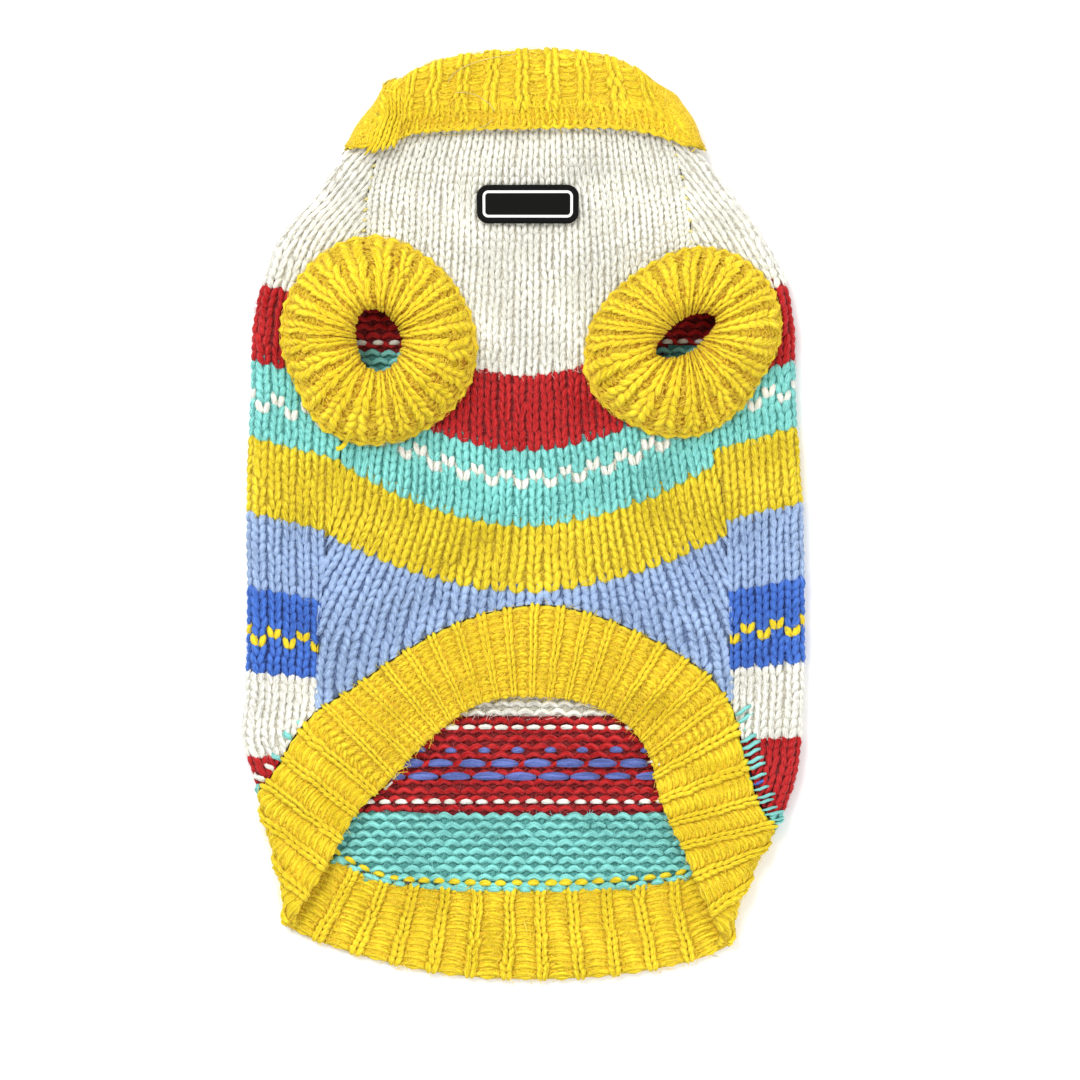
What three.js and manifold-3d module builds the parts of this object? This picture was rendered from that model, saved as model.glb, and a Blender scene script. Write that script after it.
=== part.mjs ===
// A knitted dog sweater laid flat, belly side up. Millimetres: +X to the right, +Y towards the collar, +Z up.
// The body is a flattened tube: the back panel lies underneath and wraps over both side folds, and the
// belly panel closes the tube on top. Every piece is worked out on the same laid surface, so they all fit.
import * as THREE from "three";
import { mergeVertices } from "three/addons/utils/BufferGeometryUtils.js";
import Module from "manifold-3d";

// Cloth
const CLOTH = 3.0; // thickness of the chunky knit
const SEAM_GAP = 0.35; // between two pieces that are sewn together
const HEM_GAP = 0.6; // the same up the garment at the hem, whose seam runs at a slant
const LAYER_GAP = 0.8; // smallest space between the belly layer and the back layer
const COLLAR_LAYER_GAP = 0.8; // between the collar's inner layer and its turned-down layer
const FOLD_RADIUS = 3.2; // middle of the cloth where the sides fold over
const NECK_FOLD = { from: 105, to: 127, radius: 1.9 }; // the same at the neck, which is pressed flatter
const FOLD_REACH = 30; // how far in from a side fold the belly layer is still held up
const NECK_LIFT = { from: 113, to: 127, height: CLOTH + COLLAR_LAYER_GAP }; // the neck lies on the collar

// The laid outline: the folds at both sides and the two side seams on top, a row for each height
const OUTLINE = [
  { y: 161.0, left: -42.5, right: 41.5, seamLeft: -41.0, seamRight: 40.0 },
  { y: 154.0, left: -45.0, right: 45.5, seamLeft: -43.0, seamRight: 42.0 },
  { y: 147.9, left: -47.4, right: 49.0, seamLeft: -44.5, seamRight: 44.0 },
  { y: 143.7, left: -49.8, right: 51.6, seamLeft: -45.5, seamRight: 46.0 },
  { y: 139.5, left: -53.4, right: 54.7, seamLeft: -47.0, seamRight: 49.0 },
  { y: 135.0, left: -56.6, right: 56.8, seamLeft: -48.5, seamRight: 50.5 },
  { y: 130.0, left: -59.3, right: 58.8, seamLeft: -50.0, seamRight: 51.8 },
  { y: 124.8, left: -64.2, right: 63.2, seamLeft: -52.3, seamRight: 53.3 },
  { y: 117.8, left: -69.5, right: 68.8, seamLeft: -54.3, seamRight: 55.1 },
  { y: 110.8, left: -75.2, right: 74.2, seamLeft: -55.5, seamRight: 56.5 },
  { y: 103.8, left: -81.8, right: 79.7, seamLeft: -56.0, seamRight: 57.5 },
  { y: 96.8, left: -86.7, right: 83.9, seamLeft: -56.5, seamRight: 58.2 },
  { y: 82.8, left: -92.3, right: 91.2, seamLeft: -58.0, seamRight: 59.5 },
  { y: 68.8, left: -95.4, right: 94.0, seamLeft: -60.0, seamRight: 60.8 },
  { y: 40.8, left: -96.5, right: 94.9, seamLeft: -62.8, seamRight: 63.0 },
  { y: 5.8, left: -97.5, right: 98.2, seamLeft: -66.7, seamRight: 68.8 },
  { y: -29.0, left: -97.2, right: 98.9, seamLeft: -72.0, seamRight: 71.6 },
  { y: -64.2, left: -97.9, right: 98.6, seamLeft: -73.2, seamRight: 72.5 },
  { y: -78.2, left: -98.9, right: 97.5, seamLeft: -72.5, seamRight: 73.5 },
  { y: -90.0, left: -96.2, right: 96.3, seamLeft: -72.0, seamRight: 74.0 },
  { y: -106.0, left: -93.3, right: 92.0, seamLeft: -72.0, seamRight: 74.0 },
  { y: -120.2, left: -89.5, right: 85.3, seamLeft: -72.0, seamRight: 74.0 },
  { y: -134.2, left: -87.0, right: 78.7, seamLeft: -72.0, seamRight: 74.0 },
  { y: -150.0, left: -85.2, right: 74.0, seamLeft: -72.0, seamRight: 74.0 },
  { y: -166.0, left: -83.5, right: 69.5, seamLeft: -72.0, seamRight: 74.0 },
];

// The neck edge of the body: height at the side folds and in the middle, and half its width
const NECK_EDGE = { sideY: 133.0, middleY: 138.5, halfWidth: 57 };

// Hem band of the belly panel, from the left side seam over the arch to the right side seam.
// seamX and seamY lie on the seam to the body, edgeX and edgeY on the free edge.
const BELLY_HEM = [
  { seamX: -73.3, seamY: -68.0, edgeX: -49.0, edgeY: -94.0 },
  { seamX: -61.4, seamY: -60.7, edgeX: -38.5, edgeY: -82.5 },
  { seamX: -45.7, seamY: -49.5, edgeX: -28.5, edgeY: -73.5 },
  { seamX: -28.5, seamY: -39.4, edgeX: -18.4, edgeY: -66.7 },
  { seamX: -12.0, seamY: -33.6, edgeX: -7.5, edgeY: -63.4 },
  { seamX: 5.0, seamY: -31.0, edgeX: 3.5, edgeY: -63.2 },
  { seamX: 22.0, seamY: -34.0, edgeX: 15.0, edgeY: -64.0 },
  { seamX: 38.0, seamY: -40.0, edgeX: 25.5, edgeY: -66.8 },
  { seamX: 54.0, seamY: -48.6, edgeX: 35.5, edgeY: -72.8 },
  { seamX: 66.0, seamY: -57.5, edgeX: 41.5, edgeY: -80.0 },
  { seamX: 72.6, seamY: -67.0, edgeX: 44.3, edgeY: -86.2 },
];

// Hem band of the back panel, from the left side seam round the left fold, under the body and up round
// the right fold. seamIn and edgeIn are measured in from the nearer fold: above zero on the upper
// layer, below zero on the layer underneath. The rows at the side seams come from the belly's hem.
const BACK_HEM_LEFT = [
  { seamIn: 14.0, seamY: -83.1, edgeIn: 34.4, edgeY: -103.0 },
  { seamIn: 0.0, seamY: -97.5, edgeIn: 21.5, edgeY: -118.0 },
  { seamIn: -8.2, seamY: -108.0, edgeIn: 11.0, edgeY: -131.0 },
  { seamIn: -19.0, seamY: -117.5, edgeIn: 0.0, edgeY: -143.0 },
  { seamIn: -36.8, seamY: -127.2, edgeIn: -22.5, edgeY: -152.5 },
  { seamIn: -62.0, seamY: -130.0, edgeIn: -54.0, edgeY: -160.0 },
  { seamIn: -87.5, seamY: -130.6, edgeIn: -83.8, edgeY: -162.3 },
  { seamIn: -113.0, seamY: -130.2, edgeIn: -114.0, edgeY: -161.8 },
];
const BACK_HEM_RIGHT = [
  { seamIn: -107.0, seamY: -130.2, edgeIn: -100.5, edgeY: -160.3 },
  { seamIn: -80.5, seamY: -130.6, edgeIn: -70.8, edgeY: -162.3 },
  { seamIn: -53.0, seamY: -129.8, edgeIn: -40.5, edgeY: -160.8 },
  { seamIn: -30.0, seamY: -127.2, edgeIn: -15.0, edgeY: -156.0 },
  { seamIn: -18.5, seamY: -123.2, edgeIn: 0.0, edgeY: -149.5 },
  { seamIn: -9.0, seamY: -117.5, edgeIn: 12.0, edgeY: -136.0 },
  { seamIn: 0.0, seamY: -110.0, edgeIn: 27.0, edgeY: -118.5 },
  { seamIn: 11.5, seamY: -98.9, edgeIn: 38.5, edgeY: -107.5 },
  { seamIn: 19.5, seamY: -83.5, edgeIn: 47.0, edgeY: -96.5 },
];

// Ribs: narrow raised columns with wide flat blocks between them
const RIB = { height: 0.9, from: 0.28, full: 0.36 }; // a rib rises from and is full at these shares of its pitch
const BELLY_HEM_RIBS = 18;
const BACK_HEM_HALF_RIBS = 12;
const CUFF_RIBS = 22;
const BACK_HEM_LEFT_ROWS = { from: 0, to: 7 }; // the rows that each half of the back hem uses
const BACK_HEM_RIGHT_ROWS = { from: 1, to: 9 };
const HEM_END_SHARE = 0.002; // of a hem's length, left free at each end for the side seam

// Collar: a ribbed strip joined at the left of the front, doubled and turned down. edgeIn and edgeY lie on
// its free edge, foldIn and foldY where it doubles over, measured in from the nearer side fold as above.
const COLLAR_RIGHT = [
  { edgeIn: 106.0, edgeY: 130.5, foldIn: 92.0, foldY: 150.0 },
  { edgeIn: 95.0, edgeY: 134.0, foldIn: 79.0, foldY: 155.5 },
  { edgeIn: 76.7, edgeY: 135.2, foldIn: 60.6, foldY: 159.0 },
  { edgeIn: 56.5, edgeY: 135.6, foldIn: 42.5, foldY: 160.0 },
  { edgeIn: 36.4, edgeY: 135.9, foldIn: 24.2, foldY: 159.6 },
  { edgeIn: 20.6, edgeY: 135.3, foldIn: 12.3, foldY: 157.0 },
  { edgeIn: 10.6, edgeY: 133.0, foldIn: 5.4, foldY: 152.5 },
  { edgeIn: 0.0, edgeY: 129.0, foldIn: 0.0, foldY: 146.0 },
  { edgeIn: -11.4, edgeY: 131.0, foldIn: -6.3, foldY: 151.0 },
  { edgeIn: -21.8, edgeY: 132.5, foldIn: -13.5, foldY: 155.0 },
  { edgeIn: -37.4, edgeY: 133.5, foldIn: -25.5, foldY: 157.5 },
  { edgeIn: -57.2, edgeY: 134.0, foldIn: -43.1, foldY: 158.3 },
  { edgeIn: -77.2, edgeY: 133.5, foldIn: -61.5, foldY: 157.5 },
];
const COLLAR_LEFT = [
  { edgeIn: -77.3, edgeY: 133.5, foldIn: -61.6, foldY: 157.5 },
  { edgeIn: -57.1, edgeY: 134.0, foldIn: -43.3, foldY: 158.3 },
  { edgeIn: -37.3, edgeY: 133.5, foldIn: -25.6, foldY: 157.5 },
  { edgeIn: -20.1, edgeY: 132.3, foldIn: -11.8, foldY: 154.5 },
  { edgeIn: -9.8, edgeY: 131.0, foldIn: -4.7, foldY: 151.0 },
  { edgeIn: 0.0, edgeY: 129.0, foldIn: 0.0, foldY: 148.0 },
  { edgeIn: 6.0, edgeY: 129.6, foldIn: 1.0, foldY: 149.3 },
  { edgeIn: 11.0, edgeY: 130.5, foldIn: 1.8, foldY: 150.0 },
];
const COLLAR_RIGHT_ROWS = { from: 0, to: 11 }; // the rows that each half uses
const COLLAR_LEFT_ROWS = { from: 1, to: 7 };
const COLLAR_RIGHT_RIBS = 14;
const COLLAR_LEFT_RIBS = 7;

// Sleeve cuffs: radii about each centre, a row for each direction in degrees
const CUFF_LEFT = {
  x: -51.1,
  y: 61.8,
  radii: [
    { angle: 0, rim: 32.4, hole: 7.9 },
    { angle: 30, rim: 31.3, hole: 7.8 },
    { angle: 60, rim: 31.8, hole: 8.2 },
    { angle: 90, rim: 35.0, hole: 10.2 },
    { angle: 120, rim: 34.8, hole: 11.0 },
    { angle: 150, rim: 34.0, hole: 9.2 },
    { angle: 180, rim: 33.0, hole: 7.8 },
    { angle: 210, rim: 32.0, hole: 8.0 },
    { angle: 240, rim: 35.5, hole: 10.2 },
    { angle: 270, rim: 35.2, hole: 10.8 },
    { angle: 300, rim: 33.7, hole: 10.0 },
    { angle: 330, rim: 33.6, hole: 8.4 },
  ],
};
const CUFF_RIGHT = {
  x: 56.2,
  y: 63.2,
  radii: [
    { angle: 0, rim: 31.6, hole: 7.2 },
    { angle: 30, rim: 32.8, hole: 11.6 },
    { angle: 60, rim: 31.6, hole: 8.8 },
    { angle: 90, rim: 29.0, hole: 6.4 },
    { angle: 120, rim: 26.4, hole: 5.6 },
    { angle: 150, rim: 28.3, hole: 5.8 },
    { angle: 180, rim: 33.2, hole: 7.6 },
    { angle: 210, rim: 36.6, hole: 12.0 },
    { angle: 240, rim: 35.0, hole: 8.8 },
    { angle: 270, rim: 34.0, hole: 6.2 },
    { angle: 300, rim: 31.2, hole: 5.4 },
    { angle: 330, rim: 28.8, hole: 5.6 },
  ],
};
// Section of a rolled, turned-back cuff: share of the way from the hole to the rim, and height above
// the body. Its hidden layers are one rounded solid, and the turned-back layer shows as a lip at the rim.
const CUFF_SECTION = [
  { out: 1.0, up: 0.35, rib: 0 },
  { out: 1.0, up: 2.2, rib: 0.3 },
  { out: 0.93, up: 4.8, rib: 0.9 },
  { out: 0.75, up: 10.2, rib: 1 },
  { out: 0.53, up: 14.5, rib: 1 },
  { out: 0.32, up: 15.8, rib: 1 },
  { out: 0.14, up: 13.8, rib: 0.9 },
  { out: 0.02, up: 8.6, rib: 0.5 },
  { out: 0.04, up: 0.35, rib: 0 },
  { out: 0.86, up: 0.35, rib: 0 },
];
const CUFF_RIB_HEIGHT = 1.3;
const ARMHOLE_MARGIN = 2.0; // the armhole in the body is this much wider than the cuff's hole

// Blank rubber label sewn to the chest
const LABEL = { x: 0.8, y: 109.3, width: 35.8, height: 13.7, thickness: 1.8, corner: 4.2, gap: 0.5 };
const LABEL_EDGE_ROUND = 0.4;
const LABEL_LINE = { inset: 2.0, width: 0.7, height: 0.35, slope: 0.12 };

// How finely each piece is divided
const DIVIDE = {
  flap: 4,
  roll: 6,
  base: 6,
  backDown: 24,
  bellyAcross: 16,
  bellyDown: 18,
  bellyHemDown: 3,
  backHemDown: 6,
  collarLayer: 3,
  collarFold: 4,
  armhole: 28,
  labelCorner: 5,
};
const NECK_CLOSENESS = 1.35; // above 1, the steps down a body panel are closer together at the neck
const ROLL_CLOSENESS = 4; // how much closer the steps of a hem band are where it rolls over a fold
const TABLE_SAMPLES = 120; // that measure the length of a table of seam and edge rows
const SETTLE_ROUNDS = 8; // for a point that depends on its own height
const ARMHOLE_CUT_DEPTH = 20; // from between the layers to above the upper one

const COLOURS = {
  cream: 0xeeebe0,
  yellow: 0xf5d21a,
  rubber: 0x16181a,
};

const wasm = await Module();
wasm.setup();

function cloth(color) {
  return new THREE.MeshStandardMaterial({ color, roughness: 0.95, metalness: 0 });
}

function rubber() {
  return new THREE.MeshStandardMaterial({ color: COLOURS.rubber, roughness: 0.55, metalness: 0 });
}

function ease(from, to, x) {
  const t = Math.min(1, Math.max(0, (x - from) / (to - from)));
  return t * t * (3 - 2 * t);
}

const mix = THREE.MathUtils.lerp;

// Smooth curve through one column of a table, over a key column that runs up or down.
function along(rows, key, column, at) {
  const list = rows[rows.length - 1][key] > rows[0][key] ? rows : [...rows].reverse();
  let i = 0;
  while (i < list.length - 2 && list[i + 1][key] < at) i += 1;
  const run = list[i + 1][key] - list[i][key];
  const slope = (k) => (list[k + 1][column] - list[k][column]) / (list[k + 1][key] - list[k][key]);
  const here = slope(i);
  const t = (at - list[i][key]) / run;
  if (t < 0) return list[i][column] + here * t * run;
  if (t > 1) return list[i + 1][column] + here * (t - 1) * run;
  const before = i > 0 ? (here + slope(i - 1)) / 2 : here;
  const after = i < list.length - 2 ? (here + slope(i + 1)) / 2 : here;
  const rest = 1 - t;
  const ends = list[i][column] * rest * rest * (1 + 2 * t) + list[i + 1][column] * t * t * (3 - 2 * t);
  return ends + run * t * rest * (before * rest - after * t);
}

const foldAt = (side, y) => along(OUTLINE, "y", side < 0 ? "left" : "right", y);
const quarterRoll = (y) => (foldRadius(y) * Math.PI) / 2; // length of cloth from flat to the fold's tip
const foldRadius = (y) => mix(FOLD_RADIUS, NECK_FOLD.radius, ease(NECK_FOLD.from, NECK_FOLD.to, y));
const underHeight = (y) => CLOTH / 2 + NECK_LIFT.height * ease(NECK_LIFT.from, NECK_LIFT.to, y);

// Height of the middle of the cloth of the upper layer, which settles on the back away from the folds.
function upperHeight(x, y) {
  const radius = foldRadius(y);
  const inward = Math.min(x - foldAt(-1, y), foldAt(1, y) - x) - quarterRoll(y);
  const held = 2 * radius - CLOTH - LAYER_GAP;
  const settle = Math.exp(-((Math.max(0, inward) / FOLD_REACH) ** 2));
  return underHeight(y) + CLOTH + LAYER_GAP + held * settle;
}

// A point of the laid cloth. side is -1 for the left fold and 1 for the right one; inward is the way in
// from that fold, above zero on the upper layer and below zero underneath; out is the height over the
// middle of the cloth, away from the inside of the garment.
function laid(side, inward, y, out) {
  const radius = foldRadius(y);
  const quarter = quarterRoll(y);
  const fold = foldAt(side, y);
  const under = underHeight(y);
  if (Math.abs(inward) < quarter) {
    const turn = inward / radius;
    const way = quarter - (radius + out) * Math.cos(turn);
    return new THREE.Vector3(fold - side * way, y, under + radius + (radius + out) * Math.sin(turn));
  }
  const x = fold - side * Math.abs(inward);
  return new THREE.Vector3(x, y, inward > 0 ? upperHeight(x, y) + out : under - out);
}

// 0 where the cloth faces down, 1 where it faces up.
function facingUp(inward, y) {
  return ease(-quarterRoll(y), quarterRoll(y), inward);
}

function neckEdgeY(x) {
  return mix(NECK_EDGE.middleY, NECK_EDGE.sideY, Math.min(1, Math.abs(x / NECK_EDGE.halfWidth)) ** 2);
}

// Geometry from vertices and triangles, turned so that its faces point out.
function solidGeometry(points, triangles) {
  const volume = triangles.reduce(
    (sum, [a, b, c]) => sum + points[a].dot(new THREE.Vector3().crossVectors(points[b], points[c])),
    0,
  );
  const order = volume < 0 ? triangles.map(([a, b, c]) => [a, c, b]) : triangles;
  const geometry = new THREE.BufferGeometry().setFromPoints(points);
  geometry.setIndex(order.flat());
  geometry.computeVertexNormals();
  return geometry;
}

// A cut piece of cloth: a grid of stations and steps with an outer and an inner face. point(station,
// step, face) gives its place, with face 1 for the outer face and -1 for the inner one.
function clothPiece(stations, steps, point) {
  const points = [];
  for (const face of [1, -1]) {
    for (const station of stations) {
      for (const step of steps) points.push(point(station, step, face));
    }
  }
  const across = steps.length;
  const inner = stations.length * across;
  const triangles = [];
  const quad = (a, b, c, d) => triangles.push([a, b, c], [a, c, d]);
  for (let i = 0; i < stations.length - 1; i += 1) {
    for (let j = 0; j < across - 1; j += 1) {
      const k = i * across + j;
      quad(k, k + across, k + across + 1, k + 1);
      quad(inner + k, inner + k + 1, inner + k + across + 1, inner + k + across);
    }
    const near = i * across;
    const far = near + across - 1;
    quad(near, inner + near, inner + near + across, near + across);
    quad(far, far + across, inner + far + across, inner + far);
  }
  const last = (stations.length - 1) * across;
  for (let j = 0; j < across - 1; j += 1) {
    quad(j, j + 1, inner + j + 1, inner + j);
    quad(last + j, inner + last + j, inner + last + j + 1, last + j + 1);
  }
  return solidGeometry(points, triangles);
}

// A closed section carried round a ring. section(station) gives its points in order.
function ringPiece(stations, section) {
  const rings = stations.map(section);
  const points = rings.flat();
  const across = rings[0].length;
  const triangles = [];
  for (let i = 0; i < rings.length; i += 1) {
    const next = (i + 1) % rings.length;
    for (let j = 0; j < across; j += 1) {
      const up = (j + 1) % across;
      const [a, b] = [i * across + j, next * across + j];
      const [c, d] = [next * across + up, i * across + up];
      triangles.push([a, b, c], [a, c, d]);
    }
  }
  return solidGeometry(points, triangles);
}

const steps = (count) => Array.from({ length: count + 1 }, (_, k) => k / count);

// Stations along ribbed cloth, counted in ribs: four at each rib, and both ends.
function ribStations(ribs) {
  const list = [0];
  for (let rib = 0; rib < ribs; rib += 1) {
    list.push(rib + RIB.from, rib + RIB.full, rib + 1 - RIB.full, rib + 1 - RIB.from);
  }
  return [...list, ribs];
}

function ribRise(station) {
  const share = station - Math.floor(station);
  return share > (RIB.from + RIB.full) / 2 && share < 1 - (RIB.from + RIB.full) / 2 ? 1 : 0;
}

// A value that is worked out from itself, from a first guess.
function settled(first, next) {
  let value = first;
  for (let round = 0; round < SETTLE_ROUNDS; round += 1) value = next(value);
  return value;
}

// Turns a table of seam and edge rows into a function of the way along, from 0 to 1, at even lengths.
function evenRows(rows, columns, range = { from: 0, to: rows.length - 1 }) {
  const [nearX, nearY, farX, farY] = columns;
  const numbered = rows.map((row, number) => ({ ...row, number }));
  const read = (number) => columns.map((column) => along(numbered, "number", column, number));
  const samples = steps(TABLE_SAMPLES).map((share) => ({ number: mix(range.from, range.to, share), length: 0 }));
  samples.forEach((sample, k) => {
    if (k === 0) return;
    const before = read(samples[k - 1].number);
    const now = read(sample.number);
    const stepX = (now[0] + now[2] - before[0] - before[2]) / 2;
    const stepY = (now[1] + now[3] - before[1] - before[3]) / 2;
    sample.length = samples[k - 1].length + Math.hypot(stepX, stepY);
  });
  const total = samples[samples.length - 1].length;
  return (share) => {
    const values = read(along(samples, "length", "number", share * total));
    return { [nearX]: values[0], [nearY]: values[1], [farX]: values[2], [farY]: values[3] };
  };
}

// Adds stations where ribbed cloth rolls over a fold, so that the roll stays round.
function roundTheRoll(stations, inwardAt, y) {
  const quarter = quarterRoll(y);
  const clip = (inward) => Math.min(quarter, Math.max(-quarter, inward));
  return stations.flatMap((station, k) => {
    if (k === 0) return [station];
    const before = stations[k - 1];
    const rolled = Math.abs(clip(inwardAt(station)) - clip(inwardAt(before)));
    const parts = Math.max(1, Math.ceil(rolled / (quarter / 3)));
    return steps(parts).slice(1).map((share) => mix(before, station, share));
  });
}

// The row of a back hem table where it meets the belly's hem at a side seam.
function hemJoin(side, row) {
  const seamIn = Math.abs(foldAt(side, row.seamY) - row.seamX);
  const edgeIn = Math.abs(foldAt(side, row.edgeY) - row.edgeX);
  return { seamIn, seamY: row.seamY, edgeIn, edgeY: row.edgeY };
}

const HEM_COLUMNS = ["seamIn", "seamY", "edgeIn", "edgeY"];
const hemRowsLeft = [hemJoin(-1, BELLY_HEM[0]), ...BACK_HEM_LEFT];
const hemRowsRight = [...BACK_HEM_RIGHT, hemJoin(1, BELLY_HEM[BELLY_HEM.length - 1])];
const backHemLeft = evenRows(hemRowsLeft, HEM_COLUMNS, BACK_HEM_LEFT_ROWS);
const backHemRight = evenRows(hemRowsRight, HEM_COLUMNS, BACK_HEM_RIGHT_ROWS);

function backHemRow(station) {
  const share = station / BACK_HEM_HALF_RIBS;
  if (share <= 1) return backHemLeft(Math.max(HEM_END_SHARE, share));
  return backHemRight(Math.min(1 - HEM_END_SHARE, share - 1));
}

// Height of the back panel's hem seam at a way in from a fold, read off the hem band itself.
function hemSeamY(side, inward) {
  const rows = (side < 0 ? hemRowsLeft : hemRowsRight).map((row) => ({ at: row.seamIn, y: row.seamY }));
  return along(rows, "at", "y", inward);
}

// Columns of the back panel, from the left side seam round underneath to the right side seam. reach(y)
// is the way in from the fold at a height.
function backColumns() {
  const flapWidth = (side, y) => {
    const seam = along(OUTLINE, "y", side < 0 ? "seamLeft" : "seamRight", y);
    return Math.abs(foldAt(side, y) - seam) - SEAM_GAP / 2;
  };
  const flap = (side, share) => ({ side, reach: (y) => mix(quarterRoll(y), flapWidth(side, y), share) });
  const roll = (side, share) => ({ side, reach: (y) => mix(quarterRoll(y), -quarterRoll(y), share) });
  const base = (side, share) => {
    const half = (y) => (foldAt(1, y) - foldAt(-1, y)) / 2;
    return { side, reach: (y) => -mix(quarterRoll(y), half(y), share) };
  };
  const left = [
    ...steps(DIVIDE.flap).map((share) => flap(-1, 1 - share)),
    ...steps(DIVIDE.roll).slice(1).map((share) => roll(-1, share)),
    ...steps(DIVIDE.base).slice(1).map((share) => base(-1, share)),
  ];
  const right = [
    ...steps(DIVIDE.base).slice(1).map((share) => base(1, 1 - share)),
    ...steps(DIVIDE.roll).slice(1).map((share) => roll(1, 1 - share)),
    ...steps(DIVIDE.flap).slice(1).map((share) => flap(1, share)),
  ];
  return [...left, ...right];
}

// Steps down a body panel, closer together at the neck, where the outline turns most.
const panelSteps = (count) => steps(count).map((share) => share ** NECK_CLOSENESS);

function backPanel() {
  const columns = backColumns().map(({ side, reach }) => {
    const xAt = (y) => foldAt(side, y) - side * Math.abs(reach(y));
    const neckY = settled(NECK_EDGE.sideY, (y) => neckEdgeY(xAt(y)));
    const hemY = settled(BACK_HEM_LEFT[0].seamY, (y) => hemSeamY(side, reach(y))) + HEM_GAP;
    return { side, reach, neckY, hemY };
  });
  return clothPiece(columns, panelSteps(DIVIDE.backDown), (column, step, face) => {
    const y = mix(column.neckY, column.hemY, step);
    return laid(column.side, column.reach(y), y, (face * CLOTH) / 2);
  });
}

function bellyPanel() {
  const arch = BELLY_HEM.map((row) => ({ x: row.seamX, y: row.seamY }));
  const seamX = (y, share) => {
    const left = along(OUTLINE, "y", "seamLeft", y) + SEAM_GAP / 2;
    const right = along(OUTLINE, "y", "seamRight", y) - SEAM_GAP / 2;
    return mix(left, right, share);
  };
  const shares = steps(DIVIDE.bellyAcross).map((share) => (1 - Math.cos(share * Math.PI)) / 2);
  return clothPiece(shares, panelSteps(DIVIDE.bellyDown), (share, step, face) => {
    const archY = settled(arch[0].y, (y) => along(arch, "x", "y", seamX(y, share)));
    const neckY = settled(NECK_EDGE.middleY, (y) => neckEdgeY(seamX(y, share)));
    const y = mix(neckY, archY + HEM_GAP, step);
    return laid(1, foldAt(1, y) - seamX(y, share), y, (face * CLOTH) / 2);
  });
}

// The belly's hem band lies on the upper layer from side seam to side seam.
function bellyHem() {
  const row = evenRows(BELLY_HEM, ["seamX", "seamY", "edgeX", "edgeY"]);
  return clothPiece(ribStations(BELLY_HEM_RIBS), steps(DIVIDE.bellyHemDown), (station, step, face) => {
    const at = row(mix(HEM_END_SHARE, 1 - HEM_END_SHARE, station / BELLY_HEM_RIBS));
    const y = mix(at.seamY, at.edgeY, step);
    const x = mix(at.seamX, at.edgeX, step);
    const rise = face > 0 ? RIB.height * ribRise(station) : 0;
    return laid(1, foldAt(1, y) - x, y, (face * CLOTH) / 2 + rise);
  });
}

// The share of the way from seam to edge of a hem band at a step, with the steps closer together where
// the band rolls over a fold.
function hemShare(at, step) {
  const samples = [{ passed: 0, share: 0 }];
  for (const share of steps(TABLE_SAMPLES).slice(1)) {
    const quarter = quarterRoll(mix(at.seamY, at.edgeY, share));
    const rolling = Math.abs(mix(at.seamIn, at.edgeIn, share)) < quarter;
    const before = samples[samples.length - 1].passed;
    samples.push({ passed: before + (rolling ? ROLL_CLOSENESS : 1), share });
  }
  const passed = step * samples[samples.length - 1].passed;
  const next = samples.findIndex((sample) => sample.passed >= passed);
  if (next <= 0) return 0;
  const [a, b] = [samples[next - 1], samples[next]];
  return mix(a.share, b.share, (passed - a.passed) / (b.passed - a.passed));
}

// The back's hem band wraps round both side folds. Its ribs stand on the face that looks up.
function backHem() {
  const ribs = ribStations(2 * BACK_HEM_HALF_RIBS);
  const foldY = BACK_HEM_LEFT[1].seamY;
  const stations = roundTheRoll(ribs, (station) => backHemRow(station).seamIn, foldY);
  return clothPiece(stations, steps(DIVIDE.backHemDown), (station, step, face) => {
    const side = station <= BACK_HEM_HALF_RIBS ? -1 : 1;
    const at = backHemRow(station);
    const share = hemShare(at, step);
    const y = mix(at.seamY, at.edgeY, share);
    const inward = mix(at.seamIn, at.edgeIn, share);
    const up = facingUp(inward, y);
    const rise = RIB.height * ribRise(station) * (face > 0 ? up : 1 - up);
    return laid(side, inward, y, face * (CLOTH / 2 + rise));
  });
}

// The collar's cloth runs from the neck seam up its inner layer, over the fold and down the layer that
// is turned out. turn is 0 on the inner layer and half a circle on the outer one.
function collarPath() {
  const inner = steps(DIVIDE.collarLayer).map((share) => ({ climb: share, turn: 0 }));
  const fold = steps(DIVIDE.collarFold).slice(1, -1).map((share) => ({ climb: 1, turn: share * Math.PI }));
  const outer = steps(DIVIDE.collarLayer).map((share) => ({ climb: 1 - share, turn: Math.PI }));
  return [...inner, ...fold, ...outer];
}

// Way up a row of the collar, from its edge to its fold, where it meets the body's neck edge.
function neckSeamWay(side, row) {
  return settled(0, (way) => {
    const y = mix(row.edgeY, row.foldY, way);
    const x = foldAt(side, y) - side * Math.abs(mix(row.edgeIn, row.foldIn, way));
    return (neckEdgeY(x) + SEAM_GAP - row.edgeY) / (row.foldY - row.edgeY);
  });
}

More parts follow.
